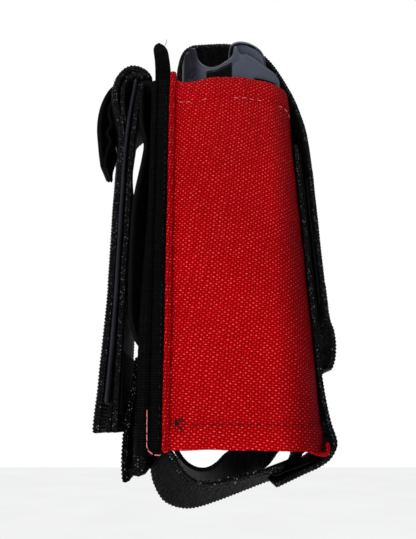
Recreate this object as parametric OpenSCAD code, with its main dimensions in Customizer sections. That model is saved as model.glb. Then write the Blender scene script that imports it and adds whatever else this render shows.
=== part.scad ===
// Belt pouch with a slide-in moulded cartridge that holds a folded fire blanket.
// Frame: +Z up, -Y front (closure side), +Y back (belt side), X across the pouch.
// Origin: middle of the belt channel between the back panel and the keeper strap.

/* [Sleeve] */
// Height of the red sleeve, rim to rim
sleeve_h = 142; // [130:1:150]
// Half width of the sleeve at its fullest point
sleeve_half_w = 30; // [29:0.5:32]
// Thickness of the sleeve cloth
cloth_t = 1.0; // [0.6:0.1:1.2]
// Front apex of the sleeve at its bottom rim, behind-to-front distance from the back panel face
apex_bottom = 62; // [60:0.5:63]
// How far the apex draws in from bottom rim to top rim
apex_taper = 7.4; // [6:0.2:7.6]

/* [Straps] */
// Width of the closure webbing
web_w = 38; // [32:1:38]
// Thickness of the closure webbing
web_t = 2.2; // [1.6:0.1:2.2]
// Width of the belt loop straps
loop_w = 44; // [38:1:46]

/* [Cartridge] */
// Gap between the sleeve's outer face and the moulded cartridge at the mouth
case_gap = 3.0; // [2.8:0.1:3.4]
// Wall of the moulded cartridge
case_wall = 2.2; // [1.6:0.1:2.4]
// Depth of the finger notch in each side wall
notch_d = 10; // [8:1:12]

/* [Hidden] */
// The belt channel's middle is the origin; everything below is drawn with the back
// panel's rear face at y = 0 and the sleeve's bottom rim at z = 0, then shifted.
oy = 3.2;
oz = 82;
hw = web_w / 2;
lw = loop_w / 2;
sling_w = web_w - 4;
case_half_w = sleeve_half_w - case_gap;

// ---------- helpers ----------
// Smooth curve through points (Catmull-Rom), n steps a span
function crp(p0, p1, p2, p3, t) =
  0.5 * ((2 * p1) + (p2 - p0) * t + (2 * p0 - 5 * p1 + 4 * p2 - p3) * t * t
  + (3 * p1 - p0 - 3 * p2 + p3) * t * t * t);
function smooth(p, n = 5) =
  let (m = len(p))
  concat([for (i = [0 : m - 2]) for (k = [0 : n - 1])
    crp(p[max(i - 1, 0)], p[i], p[i + 1], p[min(i + 2, m - 1)], k / n)], [p[m - 1]]);
function unit(v) = v / norm(v);
function nrm(p, i) =
  let (a = p[max(i - 1, 0)], b = p[min(i + 1, len(p) - 1)], d = unit(b - a)) [-d[1], d[0]];
// Closed outline of a band of thickness t whose one face runs along p; the body lies on its left
function band(p, t) = concat(
  [for (i = [0 : len(p) - 1]) p[i]],
  [for (i = [len(p) - 1 : -1 : 0]) p[i] + t * nrm(p, i)]);
// A side-view outline (y, z) drawn across x from x0 to x1
module across(x0, x1) { translate([x0, 0, 0]) rotate([90, 0, 90]) linear_extrude(x1 - x0) children(); }
// A strap that follows the side-view path p
module strap(p, t, w) { across(-w / 2, w / 2) polygon(band(p, t)); }
module at_origin() { translate([0, -oy, -oz]) children(); }
function lerp(a, b, t) = a + (b - a) * t;

// ---------- sleeve section ----------
function apex(z) = -(apex_bottom - apex_taper * z / sleeve_h);
// Half section of the sleeve's outer face, back flange to front apex, unit depth 0..1
sec = smooth([[25.2, 0], [27.8, 0.10], [29.5, 0.24], [30, 0.37], [29.8, 0.52], [29.0, 0.67],
  [27.3, 0.80], [24.4, 0.905], [20.2, 0.968], [12, 0.992], [0, 1]], 4);
// How far the rim dips under the closure strap, as a share of the height below it
function rim(y) = 1 - 0.032 * pow(min(1, max(0, -y - 50.5) / 4), 2);
// Outer face point list at height z, offset inwards by d
function ring_half(z, d) =
  let (y0 = -5.0, ya = apex(z), k = sleeve_half_w / 30,
    p = [for (s = sec) [s[0] * k, lerp(y0, ya, s[1])]])
  [for (i = [0 : len(p) - 1])
    let (a = p[max(i - 1, 0)], b = p[min(i + 1, len(p) - 1)], t = unit(b - a))
    i == len(p) - 1 ? p[i] + [0, d] : p[i] + d * [t[1], -t[0]]];
function ring(z, d) =
  let (h = ring_half(z, d), m = len(h))
  concat(h, [for (i = [m - 2 : -1 : 0]) [-h[i][0], h[i][1]]]);
// Closed shell between offsets d0 and d1 (d0 outside), from height list zs, with rim height function
module shell(zs, d0, d1) {
  n = len(ring(0, 0));
  q = len(zs);
  pts = concat(
    [for (z = zs) for (p = ring(z, d0)) [p[0], p[1], z * rim(p[1])]],
    [for (z = zs) for (p = ring(z, d1)) [p[0], p[1], z * rim(p[1])]]);
  o = q * n;
  faces = concat(
    [for (j = [0 : q - 2]) for (i = [0 : n - 2]) [j * n + i, j * n + i + 1, (j + 1) * n + i + 1]],
    [for (j = [0 : q - 2]) for (i = [0 : n - 2]) [j * n + i, (j + 1) * n + i + 1, (j + 1) * n + i]],
    [for (j = [0 : q - 2]) for (i = [0 : n - 2]) [o + j * n + i, o + (j + 1) * n + i + 1, o + j * n + i + 1]],
    [for (j = [0 : q - 2]) for (i = [0 : n - 2]) [o + j * n + i, o + (j + 1) * n + i, o + (j + 1) * n + i + 1]],
    [for (i = [0 : n - 2]) [i, o + i, o + i + 1]], [for (i = [0 : n - 2]) [i, o + i + 1, i + 1]],
    [for (i = [0 : n - 2]) let (b = (q - 1) * n) [b + i, b + i + 1, o + b + i + 1]],
    [for (i = [0 : n - 2]) let (b = (q - 1) * n) [b + i, o + b + i + 1, o + b + i]],
    [for (j = [0 : q - 2]) [j * n, (j + 1) * n, o + (j + 1) * n]],
    [for (j = [0 : q - 2]) [j * n, o + (j + 1) * n, o + j * n]],
    [for (j = [0 : q - 2]) let (e = n - 1) [j * n + e, o + (j + 1) * n + e, (j + 1) * n + e]],
    [for (j = [0 : q - 2]) let (e = n - 1) [j * n + e, o + j * n + e, o + (j + 1) * n + e]]);
  polyhedron(pts, faces, convexity = 6);
}

// ---------- back panel ----------
module panel_layer(y0, y1, half, top) {
  translate([-half, y0, 0]) cube([2 * half, y1 - y0, top]);
}
module back_panel_lining() { color("#1b1b1f") at_origin() panel_layer(-4.4, -3.2, 23.6, 140); }
module back_stiffener() { color("#d9dadc") at_origin() panel_layer(-3.2, -1.2, 22, 138); }
module back_panel_cover() { color("#1b1b1f") at_origin() panel_layer(-1.2, 0, 23.6, 140);  }

// Binding tape folded over the panel's side edge; its upper end stands free above the rim
module binding(s) {
  ear = smooth([[-3.9, 138], [-3.9, 146], [-3.2, 153], [-1.6, 159], [0.6, 162.6]], 4);
  at_origin() scale([1, 1, 1]) {
    difference() {
      translate([s > 0 ? 23.6 - 2.4 : -28, -5, -2]) cube([6.8, 6, 140]);
      translate([s > 0 ? 20 : -23.6, -4.4, -3]) cube([3.6, 4.4, 150]);
    }
    across(s > 0 ? 22.4 : -28, s > 0 ? 28 : -22.4) offset(r = 1.2) offset(delta = -1.2)
      polygon(concat([[-5, 138]], [for (p = ear) p + [-1.1, 0]], [[2.6, 163], [4.0, 160.5], [3.2, 154], [1.6, 147], [1, 142], [1, 138]]));
  }
}
module edge_binding_left() { color("#17171a") binding(-1); }
module edge_binding_right() { color("#17171a") binding(1); }

// ---------- sleeve ----------
module flange(s) {
  translate([s > 0 ? 24.2 : -28, -7, 0]) cube([3.8, 2, sleeve_h + 3]);
}
module sleeve() {
  color("#c8102e") at_origin() {
    shell([for (k = [0 : 8]) sleeve_h * k / 8], 0, cloth_t);
    flange(1); flange(-1);
  }
}
module sleeve_top_hem() { color("#b50f2a") at_origin() shell([sleeve_h - 11, sleeve_h - 5, sleeve_h - 0.4], cloth_t, cloth_t + 0.8); }
module sleeve_bottom_hem() { color("#b50f2a") at_origin() shell([0.4, 6, 12], cloth_t, cloth_t + 0.8); }

// ---------- front: webbing, loop patch ----------
function front(z, d) = [apex(z) - d, z];
module front_webbing() {
  color("#161619") at_origin()
  strap(concat([for (z = [118, 100, 80, 60, 40, 24]) front(z, 0)], smooth([[apex(14) - 0.6, 14], [apex(8) - 1.6, 8], [-64.0, 3.2]], 3)), -1.8, web_w);
}
module front_loop_patch() {
  color("#101013") at_origin()
  strap([for (z = [116, 100, 80, 60, 40, 26]) front(z, 1.85)], -1.0, web_w - 1.5);
}

// ---------- closure flap ----------
riser_c = smooth([[-6.7, 84], [-6.7, 96], [-6.7, 108], [-7.4, 120], [-8.8, 134], [-9.3, 146], [-9.6, 154], [-11.2, 160.0], [-14.0, 162.8]], 4);
module riser_strap() {
  color("#161619") at_origin() union() {
    strap(riser_c, -web_t, web_w);
  }
}
module riser_bar_tacks() {
  color("#0c0c0e") at_origin() for (z = [86, 95, 104])
    translate([-14, -7.3, z]) cube([28, 0.6, 1.6]);
}
// Flap over the cartridge's top, to the front shoulder
flap_top_in = smooth([[-14.6, 163.1], [-20, 163.6], [-28, 163.8], [-35, 163.0], [-40.2, 160.6], [-44, 157.2]], 4);
module flap_top() { color("#161619") at_origin() strap(flap_top_in, -web_t, web_w); }
flap_front_in = smooth([[-44.5, 156.6], [-47.6, 152.2], [-52.0, 144.5], [-55.6, 136], [-58.6, 126], [-60.0, 116],
  [-60.8, 104], [-61.6, 88], [-62.5, 70], [-63.4, 54], [-63.9, 47]], 4);
module flap_front() { color("#161619") at_origin() strap(flap_front_in, -web_t, web_w); }
module flap_hook_patch() {
  color("#0e0e10") at_origin()
  strap([for (z = [104, 96, 88, 80, 70, 60, 50]) [flap_y(z) + 0.06, z]], 1.0, web_w - 3);
}
function flap_y(z) = lookup(z, [for (i = [len(flap_front_in) - 1 : -1 : 0]) [flap_front_in[i][1], flap_front_in[i][0]]]);
flap_tip_in = smooth([[-64.0, 46.2], [-65.2, 42], [-65.7, 37], [-65.2, 31.5], [-63.9, 27.4]], 4);
module flap_tip() { color("#161619") at_origin() strap(flap_tip_in, -2.5, web_w); }

// ---------- bottom straps ----------
tail_out = smooth([[-63.4, -2.0], [-61.4, -4.8], [-56.6, -7.2], [-50, -9.4], [-43, -11.6]], 4);
module tail_strap() { color("#161619") at_origin() strap(tail_out, 2.0, web_w); }
module tail_hook_patch() {
  color("#0e0e10") at_origin()
  strap([for (i = [6 : 15]) tail_out[i] + 2.0 * nrm(tail_out, i)], 0.9, web_w - 3);
}
// Ribbed sling below the open bottom: sewn behind the panel and inside the sleeve's front
sling_c = smooth([[1.3, 24], [1.4, 12], [1.2, 0], [0.2, -7], [-4.2, -13.4], [-10.5, -16.7], [-17, -17.2],
  [-25, -15.2], [-33, -11.2], [-40, -7.3], [-46, -4.8], [-51, -2.0], [-53.8, 2.4], [-54.2, 8], [-54.2, 14]], 4);
module bottom_sling() { color("#1c1c20") at_origin() strap(sling_c, 2.2, sling_w); }
// Inner band of the sling, pulled tighter than the outer one
liner_c = smooth([[-6.5, 12], [-6.5, 4], [-6.9, -0.8], [-9.2, -4.4], [-14.5, -6.5], [-22, -7.0], [-31, -6.2],
  [-39, -4.0], [-44, -2.6], [-47, -1.2]], 4);
module sling_liner() { color("#161619") at_origin() strap(liner_c, 2.0, sling_w - 2); }
// Folded ribbed end that hangs behind the panel's foot
module rear_tab() {
  color("#1c1c20") at_origin() across(-hw, hw) offset(r = 0.8) offset(delta = -0.8)
    polygon(concat(smooth([[4.4, 30], [6.0, 18], [8.6, 8], [9.9, 0], [10.1, -8], [9.4, -12.8]], 4), [[4.9, -13], [4.3, -9], [4.3, 0], [4.1, 10], [4.0, 20], [3.9, 30]]));
}

// ---------- belt loop ----------
keeper_c = smooth([[0.0, 132], [0.4, 140.6], [2.8, 143.6], [5.4, 141], [6.2, 132], [6.4, 110], [6.8, 80], [7.0, 56], [6.2, 42], [3.6, 35], [0.4, 32]], 4);
module keeper_strap() {
  color("#131316") at_origin() difference() {
    across(-lw, lw) polygon(concat(
      smooth([[0.0, 128], [0.0, 141], [1.2, 145.5], [4.6, 147], [8.0, 144], [8.8, 134], [9.0, 110], [9.2, 80], [9.2, 56], [8.4, 40], [4.4, 31.5], [0.0, 31.5]], 4),
      smooth([[0.0, 36.5], [3.2, 37.5], [6.0, 44], [6.7, 56], [6.6, 80], [6.2, 110], [6.0, 132], [5.0, 141], [3.4, 141.6], [2.6, 139], [2.4, 128]], 4)));
    translate([-40, -6, 0]) cube([80, 6, 180]);
    for (s = [-1, 1]) translate([s * 25.2 - 4, -6, 0]) cube([8, 7, 180]);
  }
}
module keeper_bar_tacks() {
  color("#0c0c0e") at_origin() for (z = [130, 134]) translate([-16, 2.5, z]) cube([32, 0.6, 1.6]);
}
// Outer strap: web, stiffener, web, folded over at the top
stiff_c = smooth([[10.9, 145.4], [12.2, 128], [12.7, 106], [12.9, 80], [13.2, 54], [14.0, 32], [15.6, 17]], 4);
module loop_stiffener() { color("#3a3b42") at_origin() strap(stiff_c, 2.2, loop_w - 6); }
loop_in_c = smooth([[8.9, 148.2], [9.9, 140], [10.2, 128], [10.4, 106], [10.5, 80], [10.6, 54], [11.2, 32], [12.4, 17], [12.6, 7]], 4);
module loop_inner_web() {
  color("#161619") at_origin() across(-lw, lw) polygon(concat(
    smooth([[9.4, 145.4], [9.4, 128], [9.8, 106], [9.8, 80], [10.0, 54], [10.4, 32], [10.9, 17], [11.2, 5.4]], 4),
    smooth([[13.4, 5.4], [13.9, 12], [15.4, 17]], 3),
    [for (i = [len(stiff_c) - 2 : -1 : 0]) stiff_c[i]]));
}
module loop_outer_web() {
  color("#161619") at_origin() across(-lw, lw) polygon(concat(
    [for (i = [0 : len(stiff_c) - 1]) stiff_o[i]],
    smooth([[18.2, 11], [18.8, 4.6]], 2),
    smooth([[21.4, 4.6], [21.2, 12], [19.6, 24], [18.6, 40], [18.3, 60], [17.9, 84], [17.7, 106], [18.2, 128], [18.6, 141], [16.6, 148.6], [12.4, 152.8], [8.2, 153.2], [4.6, 151.2], [3.2, 148.4]], 4),
    [[9.2, 148.0], [9.4, 145.4]]));
}
stiff_o = [for (i = [0 : len(stiff_c) - 1]) stiff_c[i] + 2.2 * nrm(stiff_c, i)];
module loop_hook_patch() {
  color("#0e0e10") at_origin()
  translate([-lw + 2, 0, 0]) rotate([90, 0, 90]) linear_extrude(loop_w - 4)
    polygon([[9.85, 60], [9.88, 54], [10.05, 43], [9.55, 43], [9.5, 54], [9.5, 60]]);
}
// Loose hook-and-loop end that hangs outside the loop's shoulder
tab_c = smooth([[19.2, 141.0], [22.6, 139.8], [25.6, 134], [27.4, 126], [28.0, 118.5], [27.3, 112], [26.6, 107]], 4);
module loop_pull_tab() {
  color("#1a1a1d") at_origin() across(-12.5, 12.5)
    offset(r = 0.7) offset(delta = -0.7) polygon(concat(tab_c, [for (i = [len(tab_c) - 1 : -1 : 0]) tab_c[i] + lerp(3.2, 4.6, sin(180 * i / len(tab_c))) * nrm(tab_c, i)]));
}

// ---------- moulded cartridge ----------
// Plan outline: flat back with a strap groove, round front, parallel to the sleeve
module case_plan(g = 0) {
  difference() {
    polygon(ring(sleeve_h, case_gap + g));
    translate([-40, -9.9 - g]) square([80, 12]);
    translate([-20.6 - g, -17 - g]) square([41.2 + 2 * g, 14]);
  }
}
// Side-view outline of what stands: wavy top edge with the finger notch
top_edge = concat(
  smooth([[-9, 120], [-9.4, 141], [-9.6, 149.0], [-10.4, 153.4], [-12.0, 156.2], [-14.2, 157.9]], 3),
  smooth([[-15.3, 157.6], [-15.9, 155.0], [-16.8, 152.2], [-19.0, 149.6], [-21.4, 158.6 - notch_d], [-23.8, 148.9], [-26.4, 150.5], [-28.9, 152.6], [-30.6, 155.6]], 3),
  smooth([[-31.2, 159.2], [-32.6, 157.2], [-34.2, 155.3], [-36.4, 155.2], [-38.4, 154.4], [-40.6, 153.0], [-43.2, 151.0], [-46.0, 149.5], [-48.2, 147.8], [-49.6, 145.6], [-50.8, 142], [-51.5, 137], [-51.7, 120]], 3));
module case_shell() {
  difference() {
    intersection() {
      translate([0, 0, 5]) linear_extrude(160) case_plan();
      across(-30, 30) polygon(concat([[-8, 4], [-8, 120]], top_edge, [[-54, 120], [-54, 4]]));
    }
    translate([0, 0, 4]) linear_extrude(170) case_plan(case_wall);
    translate([-20.6, -30, 132]) cube([41.2, 30, 60]);
  }
}
// The shell is moulded as two halves that meet on the middle line
module case_shell_left() {
  color("#5b6272") at_origin() intersection() { case_shell(); translate([-40, -60, 0]) cube([40, 60, 180]); }
}
module case_shell_right() {
  color("#5b6272") at_origin() intersection() { case_shell(); translate([0, -60, 0]) cube([40, 60, 180]); }
}
// Yoke inside the walls: a floor over the blanket, two raised side lobes and a roof between them
roof_c = smooth([[-31.0, 142], [-31.0, 149], [-31.2, 155.4], [-33.2, 158.0], [-36.4, 158.3], [-40, 156.0], [-44, 151.8], [-46.6, 147.6], [-47.6, 141]], 3);
module case_yoke() {
  w = case_half_w - case_wall - 0.3;
  color("#4b5160") at_origin() {
    difference() {
      translate([0, 0, 124]) linear_extrude(2.4) case_plan(case_wall);
      translate([-9, -36, 120]) cube([18, 5, 10]);
    }
    intersection() {
      for (s = [-1, 1]) across(s > 0 ? 20.1 : -w, s > 0 ? w : -20.1)
        polygon(concat([[-20, 125]], smooth([[-20, 138], [-21.4, 146.4], [-25, 148.6], [-28.6, 152.4], [-29.6, 158.4], [-31.0, 161.7], [-34, 162.7], [-37.5, 162.2], [-41, 160.5], [-43, 158.4], [-43.7, 155.6], [-43.5, 150], [-43, 136]], 3), [[-42, 125]]));
      translate([0, 0, 120]) linear_extrude(60) case_plan(case_wall);
    }
    intersection() {
      across(-w, w) polygon(band(roof_c, 1.8));
      translate([0, 0, 120]) linear_extrude(60) case_plan(case_wall + 0.2);
    }
  }
}
module case_bottom_plug() {
  color("#4b5160") at_origin() {
    translate([0, 0, 2.6]) linear_extrude(2.4) case_plan();
    translate([0, 0, 4.8]) linear_extrude(4) difference() { case_plan(case_wall); case_plan(case_wall + 1.8); }
  }
}
module case_label() {
  color("#08080a") at_origin() intersection() {
    translate([0, 0, 90]) linear_extrude(70) difference() { case_plan(-0.3); case_plan(0); }
    across(-40, 0) polygon([[-19.9, 96], [-19.9, 147.2], [-21.4, 147.4], [-24.4, 148.0], [-27, 149.4], [-30.3, 150.9], [-30.3, 96]]);
  }
}
// Glass-fibre blanket, folded back and forth: each layer is joined to the next at one end
lay_t = 2.3;
lay_p = 2.6;
lay_n = 10;
function lay_w(y) = case_half_w - case_wall - 1.6 - 11 * pow(max(0, -y - 26) / 22, 2.2);
module blanket_pack() {
  color("#e8e4da") at_origin() translate([0, 0, 10]) linear_extrude(112) {
    for (k = [0 : lay_n - 1]) let (y = -19.8 - k * lay_p, w = lay_w(y - lay_t))
      translate([-w, y - lay_t]) square([2 * w, lay_t]);
    for (k = [0 : lay_n - 2]) let (y = -19.8 - k * lay_p, w = lay_w(y - lay_t - lay_p), s = k % 2 == 0 ? 1 : -1)
      translate([s > 0 ? w - 2 : -w, y - lay_p - 0.1]) square([2, lay_p - lay_t + 0.2]);
  }
}
module pull_tapes() {
  color("#141416") at_origin() for (s = [-1, 1])
    translate([s * 4.8 - 4, 0, 0]) rotate([90, 0, 90]) linear_extrude(8)
      polygon(band(smooth([[-33.4, 122.6], [-33.4, 128], [-33.0, 134], [-30, 138], [-24, 138.6], [-20.4, 136.6], [-20.6, 131.6], [-26, 129.4]], 3), 1.2));
}

back_panel_lining();
back_stiffener();
back_panel_cover();
edge_binding_left();
edge_binding_right();
sleeve();
sleeve_top_hem();
sleeve_bottom_hem();
front_webbing();
front_loop_patch();
riser_strap();
riser_bar_tacks();
bottom_sling();
sling_liner();
rear_tab();
keeper_strap();
keeper_bar_tacks();
loop_outer_web();
loop_stiffener();
loop_inner_web();
loop_hook_patch();
loop_pull_tab();
flap_top();
flap_front();
flap_hook_patch();
flap_tip();
tail_strap();
tail_hook_patch();
case_shell_left();
case_shell_right();
case_yoke();
case_bottom_plug();
case_label();
blanket_pack();
pull_tapes();
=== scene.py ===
import bpy
import math
import random
from mathutils import Vector, Matrix, noise


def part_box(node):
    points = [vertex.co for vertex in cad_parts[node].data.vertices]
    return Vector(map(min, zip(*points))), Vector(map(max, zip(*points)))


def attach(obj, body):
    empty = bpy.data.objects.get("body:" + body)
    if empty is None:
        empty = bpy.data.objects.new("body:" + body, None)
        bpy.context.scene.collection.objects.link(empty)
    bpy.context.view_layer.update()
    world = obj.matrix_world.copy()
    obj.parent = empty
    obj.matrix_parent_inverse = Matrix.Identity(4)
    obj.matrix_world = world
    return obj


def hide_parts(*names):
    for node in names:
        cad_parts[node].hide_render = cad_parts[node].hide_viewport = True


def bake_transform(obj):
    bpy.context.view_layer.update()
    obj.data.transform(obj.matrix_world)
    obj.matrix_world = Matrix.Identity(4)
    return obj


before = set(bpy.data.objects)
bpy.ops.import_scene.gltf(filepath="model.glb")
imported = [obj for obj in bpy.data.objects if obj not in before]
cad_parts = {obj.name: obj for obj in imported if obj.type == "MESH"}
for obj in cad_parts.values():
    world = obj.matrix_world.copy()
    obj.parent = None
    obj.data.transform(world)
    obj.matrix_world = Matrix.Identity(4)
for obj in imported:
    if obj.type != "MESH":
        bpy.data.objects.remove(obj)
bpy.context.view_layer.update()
rnd = random.Random(11)

# ---------------------------------------------------------------- frame
# Shapes below are written in millimetres with y = 0 on the panel's rear face and z = 0 at the
# sleeve's bottom rim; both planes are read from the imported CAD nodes.
Y0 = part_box("back_panel_cover")[1].y
Z0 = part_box("sleeve")[0].z


def W(x, y, z):
    return Vector((x / 1000.0, Y0 + y / 1000.0, Z0 + z / 1000.0))


def nz(x, y, z, s=1.0, o=0.0):
    return noise.noise(Vector((x * s + o, y * s - o, z * s + 0.37 * o)))


def sm(a, b, t):
    t = min(1.0, max(0.0, (t - a) / (b - a)))
    return t * t * (3 - 2 * t)


def crp(p0, p1, p2, p3, t):
    return tuple(
        0.5 * ((2 * b) + (c - a) * t + (2 * a - 5 * b + 4 * c - d) * t * t + (3 * b - a - 3 * c + d) * t ** 3)
        for a, b, c, d in zip(p0, p1, p2, p3)
    )


def smooth(p, n=8):
    out = []
    m = len(p)
    for i in range(m - 1):
        for k in range(n):
            out.append(crp(p[max(i - 1, 0)], p[i], p[i + 1], p[min(i + 2, m - 1)], k / n))
    out.append(tuple(p[-1]))
    return out


def resample(p, ds):
    """Even steps along a polyline; returns points and their arc lengths."""
    acc = [0.0]
    for a, b in zip(p, p[1:]):
        acc.append(acc[-1] + math.dist(a, b))
    total = acc[-1]
    n = max(2, int(round(total / ds)))
    out, ss, j = [], [], 0
    for i in range(n + 1):
        s = total * i / n
        while j < len(acc) - 2 and acc[j + 1] < s:
            j += 1
        t = (s - acc[j]) / max(1e-9, acc[j + 1] - acc[j])
        out.append(tuple(u + (v - u) * t for u, v in zip(p[j], p[j + 1])))
        ss.append(s)
    return out, ss


def lut(keys, v):
    """Piecewise-linear lookup in [(key, value), ...] sorted by key."""
    if v <= keys[0][0]:
        return keys[0][1]
    for (a, x), (b, y) in zip(keys, keys[1:]):
        if v <= b:
            return x + (y - x) * (v - a) / (b - a)
    return keys[-1][1]


def mesh_object(name, verts, faces, uvs=None, mat=None, smooth_shade=True):
    me = bpy.data.meshes.new(name)
    me.from_pydata([tuple(v) for v in verts], [], faces)
    me.validate()
    if uvs is not None:
        layer = me.uv_layers.new(name="UVMap")
        for lp in me.loops:
            layer.data[lp.index].uv = uvs[lp.vertex_index]
    if smooth_shade:
        me.polygons.foreach_set("use_smooth", [True] * len(me.polygons))
    ob = bpy.data.objects.new(name, me)
    bpy.context.scene.collection.objects.link(ob)
    if mat:
        me.materials.append(mat)
    return ob


def outward(ob):
    """Makes a closed mesh's faces point out."""
    import bmesh
    bm = bmesh.new()
    bm.from_mesh(ob.data)
    bmesh.ops.recalc_face_normals(bm, faces=bm.faces)
    bm.to_mesh(ob.data)
    bm.free()
    return ob


# ---------------------------------------------------------------- materials
def nodes_of(name):
    m = bpy.data.materials.new(name)
    m.use_nodes = True
    nt = m.node_tree
    bsdf = nt.nodes["Principled BSDF"]
    return m, nt, bsdf


def mnode(nt, op, a, b=None, c=None, clamp=False):
    n = nt.nodes.new("ShaderNodeMath")
    n.operation = op
    n.use_clamp = clamp
    for i, v in enumerate((a, b, c)):
        if v is None:
            continue
        if isinstance(v, (int, float)):
            n.inputs[i].default_value = v
        else:
            nt.links.new(v, n.inputs[i])
    return n.outputs[0]


def ramp(nt, fac, stops):
    n = nt.nodes.new("ShaderNodeValToRGB")
    el = n.color_ramp.elements
    while len(el) > 1:
        el.remove(el[-1])
    el[0].position, el[0].color = stops[0][0], (*stops[0][1], 1)
    for pos, col in stops[1:]:
        e = el.new(pos)
        e.color = (*col, 1)
    nt.links.new(fac, n.inputs[0])
    return n.outputs[0]


def mixc(nt, fac, a, b, mode="MIX"):
    n = nt.nodes.new("ShaderNodeMix")
    n.data_type = "RGBA"
    n.blend_type = mode
    for sock, v in ((n.inputs[0], fac), (n.inputs[6], a), (n.inputs[7], b)):
        if isinstance(v, (int, float)):
            sock.default_value = v
        elif isinstance(v, tuple):
            sock.default_value = (*v, 1)
        else:
            nt.links.new(v, sock)
    return n.outputs[2]


def noisen(nt, vec, scale, detail=2.0, rough=0.5):
    n = nt.nodes.new("ShaderNodeTexNoise")
    n.inputs["Scale"].default_value = scale
    n.inputs["Detail"].default_value = detail
    n.inputs["Roughness"].default_value = rough
    nt.links.new(vec, n.inputs["Vector"])
    return n


def uv_vec(nt):
    n = nt.nodes.new("ShaderNodeUVMap")
    n.uv_map = "UVMap"
    return n.outputs[0]


def obj_vec(nt):
    return nt.nodes.new("ShaderNodeTexCoord").outputs["Object"]


def weave(nt, vec, tw, th, angle=0.0, warp=0.0, warp_scale=40.0, shift=0.0):
    """Plain weave from a vector in metres: returns (height 0..1, weft-over mask, thread noise)."""
    if warp:
        w = noisen(nt, vec, warp_scale, 1.0)
        sub = nt.nodes.new("ShaderNodeVectorMath")
        sub.operation = "SUBTRACT"
        nt.links.new(w.outputs["Color"], sub.inputs[0])
        sub.inputs[1].default_value = (0.5, 0.5, 0.5)
        mad = nt.nodes.new("ShaderNodeVectorMath")
        mad.operation = "MULTIPLY_ADD"
        nt.links.new(sub.outputs[0], mad.inputs[0])
        mad.inputs[1].default_value = (warp, warp, 0)
        nt.links.new(vec, mad.inputs[2])
        vec = mad.outputs[0]
    mp = nt.nodes.new("ShaderNodeMapping")
    mp.inputs["Rotation"].default_value = (0, 0, angle)
    mp.inputs["Location"].default_value = (shift, shift, 0)
    nt.links.new(vec, mp.inputs["Vector"])
    sep = nt.nodes.new("ShaderNodeSeparateXYZ")
    nt.links.new(mp.outputs[0], sep.inputs[0])
    u = mnode(nt, "DIVIDE", sep.outputs[0], tw)
    v = mnode(nt, "DIVIDE", sep.outputs[1], th)
    i, j = mnode(nt, "FLOOR", u), mnode(nt, "FLOOR", v)
    a = mnode(nt, "SUBTRACT", mnode(nt, "SUBTRACT", u, i), 0.5)
    b = mnode(nt, "SUBTRACT", mnode(nt, "SUBTRACT", v, j), 0.5)
    par = mnode(nt, "FLOORED_MODULO", mnode(nt, "ADD", i, j), 2.0)
    ca = mnode(nt, "COSINE", mnode(nt, "MULTIPLY", a, math.pi))
    cb = mnode(nt, "COSINE", mnode(nt, "MULTIPLY", b, math.pi))
    a2 = mnode(nt, "SUBTRACT", 1.0, mnode(nt, "MULTIPLY", mnode(nt, "MULTIPLY", a, a), 2.4))
    b2 = mnode(nt, "SUBTRACT", 1.0, mnode(nt, "MULTIPLY", mnode(nt, "MULTIPLY", b, b), 2.4))
    hw = mnode(nt, "MULTIPLY", cb, a2)
    hp = mnode(nt, "MULTIPLY", ca, b2)
    mix = nt.nodes.new("ShaderNodeMix")
    mix.data_type = "FLOAT"
    nt.links.new(par, mix.inputs[0])
    nt.links.new(hp, mix.inputs[2])
    nt.links.new(hw, mix.inputs[3])
    height = mnode(nt, "MAXIMUM", mix.outputs[0], 0.0)
    # a value per crossing, so that no two floats are quite alike
    cell = nt.nodes.new("ShaderNodeCombineXYZ")
    nt.links.new(i, cell.inputs[0])
    nt.links.new(j, cell.inputs[1])
    wn = nt.nodes.new("ShaderNodeTexWhiteNoise")
    wn.noise_dimensions = "2D"
    nt.links.new(cell.outputs[0], wn.inputs["Vector"])
    return height, par, wn.outputs["Value"]


def bump(nt, height, strength, dist, normal=None):
    n = nt.nodes.new("ShaderNodeBump")
    n.inputs["Strength"].default_value = strength
    n.inputs["Distance"].default_value = dist
    nt.links.new(height, n.inputs["Height"])
    if normal is not None:
        nt.links.new(normal, n.inputs["Normal"])
    return n.outputs[0]


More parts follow.
